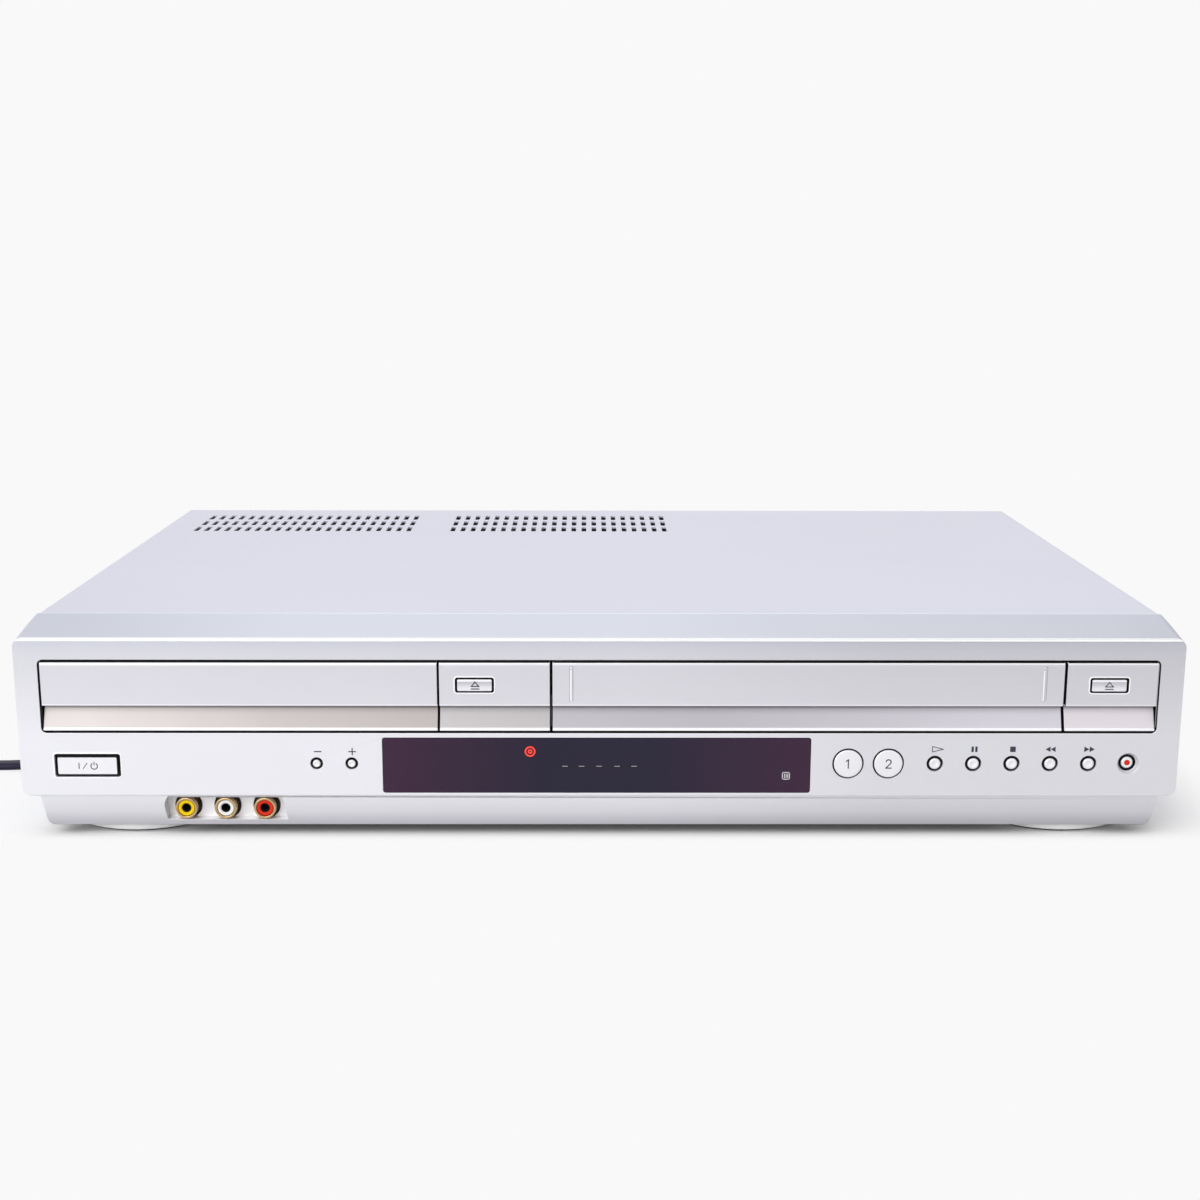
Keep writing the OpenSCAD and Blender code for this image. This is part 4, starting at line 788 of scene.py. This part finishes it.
def make_bezel():
    """The painted front, dark in its openings, its inside and underneath: unpainted moulding where
    the paint doesn't reach, which also stands in as painted shade in the gaps round the doors and
    keys and under the plinth.

    The edges that catch the light get a painted highlight, and the jack bay and the strip under the
    door row are painted lighter, as painted light.
    """
    def softened(p):
        return p.y < (5.5 if p.z < 18 else 1.9) or p.z > (79.9 if p.y > 20.5 else 76)

    # Dark faces: the unpainted inside, and painted shade deep in the openings and on the plinth's
    # underside.
    def inside(p, n):
        dish = abs(p.x - RECORD_X) < 4.3 and p.y < 1.68 and n.y < -0.1
        under = p.z < 9 and n.z < -0.6
        return 0.12 < p.y < 22 and 17.3 < p.z < 76 and abs(p.x) < 212 and not dish or under

    # Button hole walls: silver near the front, then dark as painted shade deeper in.
    def button_hole(p, n):
        near = p.y < 3 and 20 < p.z < 40 and not abs(p.x + 4) < 84
        return inside(p, n) and near and abs(n.y) < 0.5 and n.z > -0.2

    # Painted light: highlights on the top front edge and the lip, and the jack bay and the strip
    # below the door row painted lighter.
    def bright(p, n):
        bay = (BAY_X[0] < p.x < BAY_X[1] and 6.5 < p.z < 17
               and (p.y > 6.5 and n.y < -0.9 or n.z > 0.9))
        top = p.z > 76 and p.y < 1.3 and 0.25 < n.z < 0.93
        lip = abs(p.z - 17.5) < 0.7 and p.y < 0.85 and n.z < -0.2
        strip = 39 < p.z < 43.5 and p.y < 0.14 and abs(n.z) > 0.2
        return bay or top or lip or strip

    bezel = dressed("front_bezel", "painted_front", 0.14, softened, FRONT_PAINTED_SHADING)
    lined(bezel, DARK, inside)
    lined(bezel, HOLE_WALL, button_hole)
    lined(bezel, HIGHLIGHT_PAINT, bright)
    make_rim("power_rim", POWER_X, POWER_Z, 24.4, 9, 0.6)
    for name, x in (("disc_eject_rim", DISC_EJECT_X), ("cassette_eject_rim", CASSETTE_EJECT_X)):
        make_rim(name, x, EJECT_Z, 14.4, 5.8, 0.5)


def make_doors():
    """The doors and trim panels: painted in front; dark behind and on their sides and tops, bare
    moulding that is also painted shade in the gaps round them; their bands a tone darker, with
    painted shade under the step, and painted highlights on their top and bottom edges.
    """
    # Dark faces: the bare back, and painted shade on the sides and tops that face the gaps.
    def behind(p, n):
        return (p.y > 1.9 and n.y > -0.3 or p.y > 0.1 and p.z > 60 and n.z > 0.75
                or p.y > 0.25 and abs(n.x) > 0.9)

    def band(p, n):
        return n.z > 0.15 and n.y < -0.5 and p.z < BAND_TOP + 0.2

    # Painted highlights along the top edge and the bottom lip.
    def bright(p, n):
        top = p.z > 68 and p.y < 1.2 and 0.25 < n.z <= 0.75
        return top or p.z < 43.7 and p.y < 0.5 and n.y < -0.3

    for node, name in (("tray_door", "disc_tray_flap"), ("centre_trim", "centre_trim_panel"),
                       ("right_trim", "right_trim_panel"), ("cassette_door", "cassette_flap")):
        door = dressed(node, name, 0.2, lambda p: p.y < 4, DOOR_PAINTED_SHADING)
        lined(door, DARK, behind)
        lined(door, BAND_PAINTS[node], band)
        lined(door, HIGHLIGHT_PAINT, bright)


def make_grips():
    """A rounded rib and a small knob in each of the cassette door's two grip slots."""
    for x in GRIP_XS:
        rib = boxed("grip_rib", x - 0.39, x + 0.39, 0.02, 0.52, 54.0, 65.7)
        soften(0.24, lambda p: p.y < 0.2, segments=3)
        smooth(rib, 50)
        profile = [(0, 0.0), (0.22, 0.04), (0.4, 0.18), (0.46, 0.32), (0.46, 0.5), (0, 0.5)]
        knob = turned("grip_knob", profile, at_front(x, 0, 66.55), steps=16, angle=50)
        # Both take the highlight paint, a painted highlight on the rib and the knob.
        for piece in (rib, knob):
            finished(piece, BODY_OF["cassette_door"], "silver_plastic", HIGHLIGHT_PAINT)


def make_round_key(node, x, r, seat=0.0):
    """A cap with a shallow finger dish, or a nearly flat one if large; then collar and stem."""
    if r > 4:
        face = SELECT_FACE
        dome = [(0, 0), (0.6, 0), (0.88, 0.05), (0.95, 0.13), (0.985, 0.25), (1, 0.45)]
    else:
        face = seat + CAP_FACE
        dome = [(0, 0.3), (0.22, 0.28), (0.4, 0.18), (0.54, 0.05), (0.66, 0), (0.8, 0.06),
                (0.93, 0.25), (1, 0.55)]
    corner = in_mm(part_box(node)[1])
    collar, end = corner.x - x, corner.y
    back = seat + 2.3
    profile = [(r * share, face + depth) for share, depth in dome]
    profile += [(r, back), (collar, back), (collar, back + 1), (1.5, back + 1), (1.5, end - 0.3),
                (1.2, end), (0, end)]
    cap = turned(node.replace("button", "key"), profile, at_front(x, 0, BUTTON_Z),
                 steps=40, angle=30)
    stand_in(cap, node, finish=CAP_PAINT)
    # Dark behind the cap's front: bare moulding, and painted shade in the gap round the cap.
    lined(cap, DARK, lambda p, n: p.y > seat + 0.3)


def make_square_key(node, trim, finish):
    """A CAD cap with rounded edges, its front part moved in where the gap round it is wider."""
    cap = copied(node, node.replace("button", "key"))
    reshape(cap, lambda p: trim(p) if p.y < 2.2 else (0, 0, 0))
    soften(0.3, lambda p: p.y < 2)
    smooth(cap, 40)
    stand_in(cap, node, finish=finish)
    # Dark behind the cap's front: bare moulding, and painted shade in the gap round the cap.
    lined(cap, DARK, lambda p, n: p.y > 0.24)


def make_buttons():
    """The round keys with the record button's red dot, and the square power and eject keys."""
    for names, xs, r in (("play pause stop rewind forward", TRANSPORT_XS, 2.12),
                         ("channel_down channel_up", CHANNEL_XS, 1.45),
                         ("select_one select_two", SELECT_XS, 5.3)):
        for name, x in zip(names.split(), xs):
            make_round_key(name + "_button", x, r)
    make_round_key("record_button", RECORD_X, 2.25, RECORD_SEAT)
    profile = [(0, 1.3), (0.9, 1.32), (1.15, 1.42), (1.2, 1.55), (1.2, 1.75), (0, 1.75)]
    dot = turned("record_dot", profile, at_front(RECORD_X, 0, BUTTON_Z), steps=24)
    finished(dot, "record_button", "red_plastic")

    def power_trim(p):
        return -0.35 * (p.x < POWER_X - 8), 0, -0.4 * (p.z < POWER_Z - 1.5)

    def eject_trim(p):
        return 0, 0, -0.25 * (p.z > EJECT_Z + 1.5)

    make_square_key("power_button", power_trim, CAP_PAINT)
    make_square_key("disc_eject_button", eject_trim, EJECT_PAINTED_SHADING)
    make_square_key("cassette_eject_button", eject_trim, EJECT_PAINTED_SHADING)


# ---- jacks, cover and rear

REAR_ROOT = 268.4
# The jacks: x, height, and the depths of the tip and of the root.
JACKS = [(x, 11.6, 2.6, 9) for x in (-155.1, -140.4, -125.7)]
JACKS += [(20 + 17 * i, z, 279, REAR_ROOT) for z, count in ((26, 5), (44, 6)) for i in range(count)]
INSERTS = {"yellow_inserts": (0, 3, 8), "white_inserts": (1, 4, 9, 6),
           "red_inserts": (2, 5, 10, 7, 13), "component_inserts": (11, 12)}
# Their profiles: the radius, and the distance behind the tip.
BARREL = ((3.15, 0.5), (3.3, 0.12), (3.65, 0), (3.98, 0.12), (4.15, 0.45), (4.15, 2.2), (4.05, 2.4))
INSERT = ((3.05, 0.5), (2.85, 0.3), (2.15, 0.3), (1.75, 0.65), (1.65, 1.1))
HOLE_R = 1.72


def make_sleeve(name, face, jack, steps):
    """A sleeve from a jack's root to its tip."""
    x, z, tip, root = jack
    back = math.copysign(1, root - tip)
    profile = [(r, tip + back * distance) for r, distance in face]
    ends = (face[-1][0], root), (face[0][0], root)
    return turned(name, [ends[1], *profile, *ends], at_front(x, 0, z), steps=steps, angle=40)


def make_jacks():
    """The front and rear phono jacks: gilt barrels round coloured inserts, with painted shade dark
    in the hole.
    """
    barrels = [make_sleeve("jack_barrel", BARREL, jack, 40) for jack in JACKS]
    stand_in(joined(barrels, "phono_barrels"), "jack_barrels")
    for node, places in INSERTS.items():
        jacks = [JACKS[i] for i in places]
        sleeves = [make_sleeve(node, INSERT, jack, 32) for jack in jacks]
        piece = stand_in(joined(sleeves, node.replace("inserts", "phono_inserts")), node)
        # Painted shade: the inserts are dark within the hole's radius.
        lined(piece, DARK, lambda p, n: min(math.hypot(p.x - x, p.z - z)
                                            for x, z, *_ in jacks) < HOLE_R)


COVER_TOP = 82
COVER_HALF = 212
COVER_FRONT = 23
COVER_BACK = 270
NEAR = 0.1
SLOT_XS = [group + 4.9 * i for group in (-194.7, -70.4) for i in range(22)]
SLOT_YS = (212, 229, 246)
SLOT_W = 2.3
SLOT_L = 12.5


def make_cover():
    """The folded steel cover: its folds are rounded, and then its vent slots are cut."""
    def of_the_top(face):
        p = spot_of(face)
        slot_wall = 81.2 < p.z < COVER_TOP and abs(p.x) < 205 and 200 < p.y < 258
        return p.z > 81 and abs(face.normal.z) > 0.99 or slot_wall

    def fold(edge):
        a, b = (in_mm(corner.co) for corner in edge.verts)
        top = min(a.z, b.z) > COVER_TOP - NEAR
        side = min(abs(a.x), abs(b.x)) > COVER_HALF - NEAR
        back = min(a.y, b.y) > COVER_BACK - NEAR
        return top and side and a.x * b.x > 0 or back and (top or side)

    def seam(edge):
        p = spot_of(edge)
        return abs(p.y - COVER_FRONT) < 0.01 and p.z > COVER_TOP - 0.01

    cover = copied("top_cover", "steel_cover")
    pick("faces", of_the_top)
    bpy.ops.mesh.delete(type="FACE")
    select_all()
    bpy.ops.mesh.fill_holes(sides=0)
    face_outward()
    for test, width, segments in ((fold, 0.75, 3), (seam, 0.25, 2)):
        pick("edges", test)
        bevel(width, segments)
    leave_edit()

    x, y = SLOT_XS[0], SLOT_YS[0]
    slot = boxed("slot_cutter", x - SLOT_W / 2, x + SLOT_W / 2, y - SLOT_L / 2, y + SLOT_L / 2,
                 COVER_TOP - 1.5, COVER_TOP + 0.7)
    pick("edges", lambda edge: abs(edge.verts[0].co.z - edge.verts[1].co.z) > MM)
    bevel(0.7, 2)
    moves = [(u - x, v - y, 0) for u in SLOT_XS for v in SLOT_YS if (u, v) != (x, y)]
    cut(cover, repeated(slot, moves, "slot_cutter"))
    smooth(cover, 40)
    stand_in(cover, "top_cover")
    # A painted highlight on the faces that face forward and up, the front seam's bevel.
    lined(cover, HIGHLIGHT_PAINT, lambda p, n: n.y < -0.2 and n.z > 0.2)


SCREW = [(0, 1.75), (1.6, 1.7), (2.6, 1.35), (3.2, 0.8), (3.4, 0.25), (3.4, 0), (1.5, 0),
         (1.5, -4.4), (1.0, -5), (0, -5)]
RECESS_L = 3.6
RECESS_W = 0.8
RECESS_T = 2.4
RECESS_MIDDLE = 1.9


def make_screw(place, outward):
    """A pan head with a cross recess, and its shank."""
    outward = Vector(outward)
    screw = turned("cover_screw", SCREW, at_front(*place), outward, 28)
    middle = Vector(place) + outward * RECESS_MIDDLE
    side = outward.cross(UPRIGHT)
    for long, short in ((side, UPRIGHT), (UPRIGHT, side)):
        half = [abs(a * RECESS_L + b * RECESS_W + c * RECESS_T) / 2
                for a, b, c in zip(long, short, outward)]
        arm = boxed("recess_arm", *(m + sign * h for m, h in zip(middle, half)
                                    for sign in (-1, 1)))
        cut(screw, arm)
    return screw


def make_screws():
    """Two screws in each side of the cover, and three in its back edge."""
    screws = [make_screw((side * COVER_HALF, y, 11.5), (side, 0, 0))
              for side in (-1, 1) for y in (45, 236)]
    screws += [make_screw((x, COVER_BACK, 76.9), (0, 1, 0)) for x in (-190, 0, 190)]
    stand_in(joined(screws, "cover_screw_set"), "cover_screws")


ANTENNA_X = -42
ANTENNA_ZS = (26, 48)
THREADS = 9
THREAD_PITCH = 0.8
NUT_R = 6.4
NUT_T = 1.9


def make_sockets():
    """Two threaded antenna sockets with their nuts and pale cores."""
    thread = [(0, REAR_ROOT), (4.35, REAR_ROOT), (4.35, 271)]
    for i in range(THREADS):
        y = 271.35 + i * THREAD_PITCH
        thread += [(4.75, y), (4.4, y + THREAD_PITCH / 2)]
    thread += [(4.5, 278.8), (4.2, 279), (3.4, 279), (3.3, 278.6), (3.3, 277.9), (0, 277.9)]
    bush = [(0.8, 277.9), (3.25, 277.9), (3.25, 278.3), (3.0, 278.5), (1.3, 278.5), (0.8, 278.2),
            (0.8, 277.9)]
    metal = []
    cores = []
    for z in ANTENNA_ZS:
        place = at_front(ANTENNA_X, 0, z)
        metal.append(turned("antenna_socket", thread, place, angle=30))
        bpy.ops.mesh.primitive_cylinder_add(vertices=6, radius=NUT_R * MM, depth=NUT_T * MM,
                                            location=at_front(ANTENNA_X, 270.2, z),
                                            rotation=(math.pi / 2, 0, 0))
        nut = bpy.context.object
        bpy.ops.object.transform_apply()
        edit(nut)
        soften(0.3)
        smooth(nut, 40)
        metal.append(nut)
        cores.append(turned("socket_core", bush, place, steps=24, angle=30))
    stand_in(joined(metal, "antenna_socket_pair"), "antenna_sockets")
    finished(joined(cores, "socket_cores"), "case", "white_plastic")


RELIEF = (-188, 296, 19.5)
BOOT_START = 271.7
BOOT_L = 24.3
GROOVES = 6


def make_strain_relief():
    """A flanged boot with flexing grooves that tapers along the cord."""
    boot = [(0, 265.4), (5.9, 265.4), (5.9, 269.2), (7.4, 269.2), (7.6, 269.4), (7.6, 271.4),
            (7.3, BOOT_START), (6.1, BOOT_START)]
    for i in range(GROOVES):
        y = 273.6 + i * 3.5
        r = 6 - 1.9 * (y - BOOT_START) / BOOT_L
        boot += [(r, y), (r - 0.1, y + 0.15), (r - 1.0, y + 0.35), (r - 1.0, y + 1.15),
                 (r - 0.2, y + 1.35)]
    boot += [(4.15, 295.6), (3.9, RELIEF[1]), (0, RELIEF[1])]
    piece = turned("cord_boot", boot, at_front(RELIEF[0], 0, RELIEF[2]))
    stand_in(piece, "strain_relief", slot="black_rubber")


def make_plug():
    """A moulded two-blade plug: waisted sides with grip ribs, a rounded body, bored blades."""
    low, high = (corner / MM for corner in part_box("plug_body"))
    near, far = low.y - FRONT_Y / MM, high.y - FRONT_Y / MM
    middle_x, middle_z = (low.x + high.x) / 2, (low.z + high.z) / 2
    plug = boxed("plug_moulding", low.x, high.x, near, far, low.z, high.z)
    bpy.ops.mesh.subdivide(number_cuts=9)
    mesh = bmesh.from_edit_mesh(plug.data)
    for corner in mesh.verts:
        x, y, z = (part / MM for part in corner.co)
        share = (y - low.y) / (high.y - low.y)
        shoulder = min(1.0, share * 1.5)
        waist = 0.62 + 0.38 * shoulder ** 0.7
        ribs = 1 - 0.035 * (0.18 < share < 0.75 and int(share * 20) % 2 == 0)
        corner.co.x = (middle_x + (x - middle_x) * waist * ribs) * MM
        corner.co.z = (middle_z + (z - middle_z) * (0.75 + 0.25 * shoulder)) * MM
    bmesh.update_edit_mesh(plug.data)
    soften(1.6, segments=3, sharp=60)
    smooth(plug, 30)
    stand_in(plug, "plug_body")
    dressed("plug_blades", "plug_blade_pair", 0.35, lambda p: p.y > far + 10, angle=40)


# ---- inside

BOARD_TOP = 12.3
TRAY_X = -132.9
DISC_Y = 74.1
LENS_Y = 104.1
CHIP_X = -83
CHIP_YS = [69.6 + 34 * i for i in range(5)]
CHIP_HALF = 8
LEGS = 19
LEG_PITCH = 0.9
LEG_SPAN = 18.8


def make_boards():
    """The main board with its chips and their legs, the power supply, and the switch board."""
    def over_board(p, n):
        return p.z > BOARD_TOP + 0.05

    def heat_sink(p, n):
        return p.z > BOARD_TOP + 0.05 and (n.z > 0.9 and p.x < -165 or p.x < -190)

    board = dressed("main_board", "main_circuit_board", 0.25, lambda p: p.z > BOARD_TOP + 0.5)
    lined(board, DARK, over_board)
    x, y = CHIP_X - CHIP_HALF, CHIP_YS[0] - 9.4
    leg = boxed("chip_leg", x - 0.15, x + 0.15, y - 0.5, y + 0.5, BOARD_TOP, BOARD_TOP + 1)
    soften(0.06, segments=1)
    moves = [(LEG_PITCH * j, chip_y - CHIP_YS[0] + side, 0)
             for chip_y in CHIP_YS for j in range(LEGS) for side in (0, LEG_SPAN)]
    finished(repeated(leg, moves[1:], "chip_leg"), "case", "nickel")
    supply = dressed("power_supply", "power_circuit_board", 0.4, lambda p: p.z > BOARD_TOP + 0.5)
    lined(supply, DARK, over_board)
    lined(supply, FINISHES["zinc_steel"], heat_sink)
    switches = dressed("control_board", "switch_board", 0.3, lambda p: p.y < 15.5)
    lined(switches, DARK, lambda p, n: p.y < 15.9)
    dressed("display_tube", "fluorescent_tube", 0.6, finish=FINISHES["smoked_window"])


def make_loader():
    """The disc loader: frame, tray with its disc seat, gear, traverse, turntable and pickup."""
    def guide_rod(p, n):
        return 42 < p.z < 45.2 and 90.2 < p.y < 158 and abs(abs(p.x - TRAY_X) - 20) < 1.6

    dressed("loader_frame", "loader_moulding", 0.3)
    dressed("disc_tray", "tray_moulding", 0.35, lambda p: p.z > 50.5 and p.y > 8.5)
    dressed("tray_gear", "tray_drive_gear", 0.12, lambda p: p.z > 48 or p.z < 45)
    traverse = dressed("traverse", "traverse_sled", 0.25,
                       lambda p: p.z < 48 and not 156 < p.y < 164)
    lined(traverse, FINISHES["nickel"], guide_rod)
    hub = at_front(TRAY_X, DISC_Y, 0)
    rotor = [(0, 43.1), (1, 43.1), (1, 49.0), (13.7, 49.0), (14, 49.3), (14, 53.9), (13.5, 54.4),
             (8.4, 54.4), (8.2, 54.15), (7.4, 54.15), (7.2, 55.4), (6.2, 56.4), (5.6, 56.6),
             (2.2, 56.6), (1.6, 56.2), (0, 56.2)]
    stand_in(turned("turntable_rotor", rotor, hub, UPRIGHT, 40), "turntable")
    ring = [(9.2, 54.3), (9.2, 54.6), (9.5, 54.75), (13.0, 54.75), (13.3, 54.6), (13.3, 54.3),
            (9.2, 54.3)]
    finished(turned("turntable_pad", ring, hub, UPRIGHT, 40), "turntable", "black_rubber")
    dressed("optical_pickup", "pickup_head", 0.3)
    glass = [(0, 49.3), (1.9, 49.3), (1.9, 49.45), (1.6, 49.6), (1.0, 49.78), (0, 49.85)]
    lens = turned("pickup_lens", glass, at_front(TRAY_X, LENS_Y, 0), UPRIGHT, 28, 50)
    finished(lens, "pickup", "smoked_window")


def make_deck():
    """The cassette deck: plate, posts, drum, capstan, roller, reels, slider and carriage."""
    dressed("deck_chassis", "deck_plate", 0.12)
    dressed("tape_path", "tape_posts", 0.35)
    dressed("lower_drum", "drum_base", 0.3)
    dressed("upper_drum", "drum_rotor", 0.45, lambda p: p.z > 57)
    dressed("capstan", "capstan_shaft", 0.3)
    dressed("pinch_roller", "pinch_roller_rubber", 0.4)
    for node in ("supply_reel", "takeup_reel"):
        dressed(node, node.replace("reel", "reel_table"), 0.2, lambda p: p.z > 29)
    dressed("carriage_slider", "slider_frame", 0.1)
    dressed("cassette_carriage", "carriage_frame", 0.12)


def make_case_parts():
    """The base, rear panel, feet, the blocks behind the jacks, and the frames round the jacks."""
    dressed("chassis_base", "base_pressing", 0.2)
    dressed("rear_panel", "rear_pressing", 0.12)
    dressed("rear_feet", "rear_foot_pair", 0.6, lambda p: p.z < 1.5)
    dressed("foot_pads", "foot_pad_set", 0.08, lambda p: p.z < 0.5)
    dressed("front_jack_block", "front_jack_moulding", 0.4)
    dressed("rear_jack_block", "rear_jack_moulding", 0.4)
    dressed("tuner_module", "tuner_can", 0.5)
    for name, x0, x1, z0, z1 in (("line_jack_frame", 13, 61.5, 19, 51.5),
                                 ("disc_jack_frame", 63, 112.5, 19, 51.5),
                                 ("antenna_frame", -50.5, -33.5, 18, 56)):
        printed(name, square_line(x0, x1, z0, z1, 0.5, 269.25))


# ---- power cord

CORD_W = 7
CORD_T = 3.4
CORD_Z = 1.8
CORD_SIDES = 20
COIL_X = -324
COIL_Y = 128.5
COIL_R = 46
COIL_TURNS = 5.25
COIL_STEPS = 36
COIL_GAP = 0.4
LAYER = 3.6
ROUTE = [
    RELIEF, (-188, 304, 19.2), (-188.5, 312, 17.8), (-190, 320, 14.8),
    (-193, 328, 10.8), (-197.5, 335, 7), (-203.5, 340.5, 4), (-211, 344, 2.3),
    *((x, y, CORD_Z) for x, y in (
        (-219, 345.2), (-227, 344), (-234.5, 340.3), (-240.5, 334.5), (-244.8, 327), (-247, 318.5),
        (-247.5, 308), (-246.5, 292), (-243.5, 272), (-239.5, 250), (-235, 228), (-230.5, 206),
        (-226.5, 184), (-223.5, 162), (-222.2, 146), (-221.8, 132), (-222.4, 118), (-225, 105),
        (-230.5, 95), (-239, 88.4), (-250, 86), (-264, 86), (-278, 86), (-292, 86), (-306, 86))),
]


def smooth_line(points, steps):
    """A smooth line through the points, with so many steps between two of them."""
    path = []
    padded = [points[0], *points, points[-1]]
    for before, start, end, after in zip(padded, points, points[1:], padded[3:]):
        for step in range(steps):
            t = step / steps
            path.append(0.5 * (2 * start + (end - before) * t
                               + (2 * before - 5 * start + 4 * end - after) * t ** 2
                               + (3 * start - before - 3 * end + after) * t ** 3))
    return path + [points[-1]]


def coil_line():
    """Turns on two columns, outer and inner, that climb a layer at each column's end."""
    def column(turn):
        return COIL_R - CORD_W / 2 - (CORD_W + COIL_GAP) * ((turn + 1) // 2 % 2)

    path = []
    for k in range(int(COIL_TURNS * COIL_STEPS) + 1):
        turn = k // COIL_STEPS
        shift = max(0.0, k % COIL_STEPS / COIL_STEPS * 4 - 3)
        shift = shift * shift * (3 - 2 * shift)
        radius = column(turn) + (column(turn + 1) - column(turn)) * shift
        layer = turn // 2 + ((turn + 1) // 2 - turn // 2) * shift
        angle = -math.pi / 2 - 2 * math.pi * k / COIL_STEPS
        path.append(Vector((COIL_X + radius * math.cos(angle), COIL_Y + radius * math.sin(angle),
                            CORD_Z + LAYER * layer)))
    return path


def cord_line():
    """The cord's centre line in metres: the free stretch, the coil and the way into the plug."""
    free = smooth_line([Vector(p) for p in ROUTE], 3)
    coil = coil_line()
    last = coil[-1]
    gap = (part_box("plug_body")[0].y - FRONT_Y) / MM - last.y
    tail = [Vector((last.x, last.y + gap * i / 6, last.z)) for i in range(1, 7)]
    return [at_front(*p) for p in free[:-1] + coil + tail]


def cord_section():
    """A flat two-core lead: both sides rounded, and a shallow groove along the middle."""
    wide, thick = CORD_W * MM, CORD_T * MM
    section = []
    for k in range(CORD_SIDES):
        angle = 2 * math.pi * k / CORD_SIDES
        across, up = (math.copysign(abs(part) ** 0.72, part)
                      for part in (math.cos(angle), math.sin(angle)))
        groove = 1 - 0.16 * max(0.0, 1 - abs(across) * 4)
        section.append((across * wide / 2, up * groove * thick / 2))
    return section


def make_cord():
    """The power cord, its section carried along its centre line."""
    path = cord_line()
    section = cord_section()
    points = []
    for before, centre, after in zip([path[0], *path], path, [*path[1:], path[-1]]):
        ahead = (after - before).normalized()
        side = Vector((-ahead.y, ahead.x, 0)).normalized()
        up = ahead.cross(side).normalized()
        points += [centre + side * a + up * b for a, b in section]
    rings = [tuple(range(i, i + CORD_SIDES)) for i in range(0, len(points), CORD_SIDES)]
    faces = [face for a, b in zip(rings, rings[1:])
             for face in zip(a, a[1:] + a[:1], b[1:] + b[:1], b)]
    faces += [rings[0][::-1], rings[-1]]
    mesh = bpy.data.meshes.new("power_lead")
    mesh.from_pydata(points, [], faces)
    cord = bpy.data.objects.new("power_lead", mesh)
    bpy.context.scene.collection.objects.link(cord)
    edit(cord)
    face_outward()
    leave_edit()
    bpy.ops.object.shade_smooth_by_angle(angle=math.radians(50))
    stand_in(cord, "power_cord", "cord_coil")


# ---- floor and light

WHITE = 0.947
AMBIENT = 0.55
FLOOR_SIZE = 24
FLOOR_LIFT = 0.02
# Half sizes in metres: the floor under the player with a painted shadow, and the floor that keeps
# its real shadow.
SHADE_PAINT_X, SHADE_PAINT_Y = 0.19, 0.121
SHADE_PAINT_FADE_X, SHADE_PAINT_FADE_Y = 0.015, 0.009
SHADOW_X, SHADOW_Y = 0.215, 0.127
SHADOW_FADE_X, SHADOW_FADE_Y = 0.045, 0.015
LAMPS = (("key", (-1.0, -1.5, 0.9), 1.6, 28), ("fill", (1.2, -1.3, 0.9), 1.4, 3),
         ("rear", (0.1, 1.2, 1.5), 1.6, 7))
LAMP_AIM = Vector((0, 0, 0.04))


def make_floor():
    """A white floor that keeps the player's shadow, has a painted shadow right under it, and is as
    white as the surround further away.
    """
    bpy.ops.mesh.primitive_plane_add(size=FLOOR_SIZE, location=(0, 0, 0))
    floor = bpy.context.object
    floor.name = "studio_floor"
    paper = Finish("white_paper", Roughness=0.8, Specular_IOR_Level=0.1)
    camera, glossy = rays(paper.tree, "Camera", "Glossy")
    x, y, _ = paper.axes()
    breadth, depth = x.size(), y.size()

    fibres = paper.noise(40, 3.0)
    # Painted shadow: the paper seen by the camera is darker right under the player.
    bare_x, bare_y = (breadth - SHADE_PAINT_X) / SHADE_PAINT_FADE_X, (depth - SHADE_PAINT_Y) / SHADE_PAINT_FADE_Y
    lit_paper = paper.mix(fibres, (0.97,) * 3, (0.99,) * 3)
    paper_with_painted_shadow = paper.mix(bare_y.math("MAXIMUM", bare_x).clamped(), (0.50, 0.50, 0.51), lit_paper)
    bounced = paper.mix(fibres, (0.66,) * 3, (0.70,) * 3)
    paper.set("Base Color", paper.mix(camera, bounced, paper_with_painted_shadow))
    paper.set("Emission Color", (1.0,) * 4)
    paper.set("Emission Strength", camera * FLOOR_LIFT)

    aside = (breadth - SHADOW_X).math("MAXIMUM", 0.0) / SHADOW_FADE_X
    before = (depth - SHADOW_Y).math("MAXIMUM", 0.0) / SHADOW_FADE_Y
    far = (aside * aside + before * before).math("SQRT").clamped()
    white = paper.add("Emission", Color=(1.0,) * 4, Strength=WHITE)
    seen = (camera + glossy).clamped()
    mixed = paper.add("MixShader", Fac=far * far * (3 - 2 * far) * seen)
    output = paper.tree.nodes["Material Output"]
    for source, socket in ((paper.shader, mixed.inputs[1]), (white, mixed.inputs[2]),
                           (mixed, output.inputs["Surface"])):
        paper.tree.links.new(source.outputs[0], socket)
    floor.data.materials.append(paper.material)


def make_world():
    """A surround that is white where it is seen, and dimmer as a light."""
    world = bpy.data.worlds.new("studio")
    bpy.context.scene.world = world
    world.use_nodes = True
    tree = world.node_tree
    camera, glossy, through = rays(tree, "Camera", "Glossy", "Transmission")
    seen = (camera + glossy + through).clamped()
    backdrop = tree.nodes["Background"]
    backdrop.inputs["Color"].default_value = (1.0,) * 4
    plug_in(tree, backdrop.inputs["Strength"], seen * (WHITE - AMBIENT) + AMBIENT)


def make_lamps():
    """Soft square lamps aimed at the player."""
    for name, place, size, power in LAMPS:
        bpy.ops.object.light_add(type="AREA", location=place)
        lamp = bpy.context.object
        lamp.name = name + "_lamp"
        lamp.data.shape = "SQUARE"
        lamp.data.size = size
        lamp.data.energy = power
        lamp.rotation_euler = (LAMP_AIM - Vector(place)).to_track_quat("-Z", "Y").to_euler()


make_camera()
make_cord()
dress_nodes()
make_bezel()
make_doors()
make_grips()
make_buttons()
make_transport_signs()
make_channel_signs()
make_button_signs()
make_display()
make_jacks()
make_cover()
make_screws()
make_sockets()
make_strain_relief()
make_plug()
make_boards()
make_loader()
make_deck()
make_case_parts()
make_floor()
make_world()
make_lamps()
bpy.context.scene.view_settings.view_transform = "Standard"
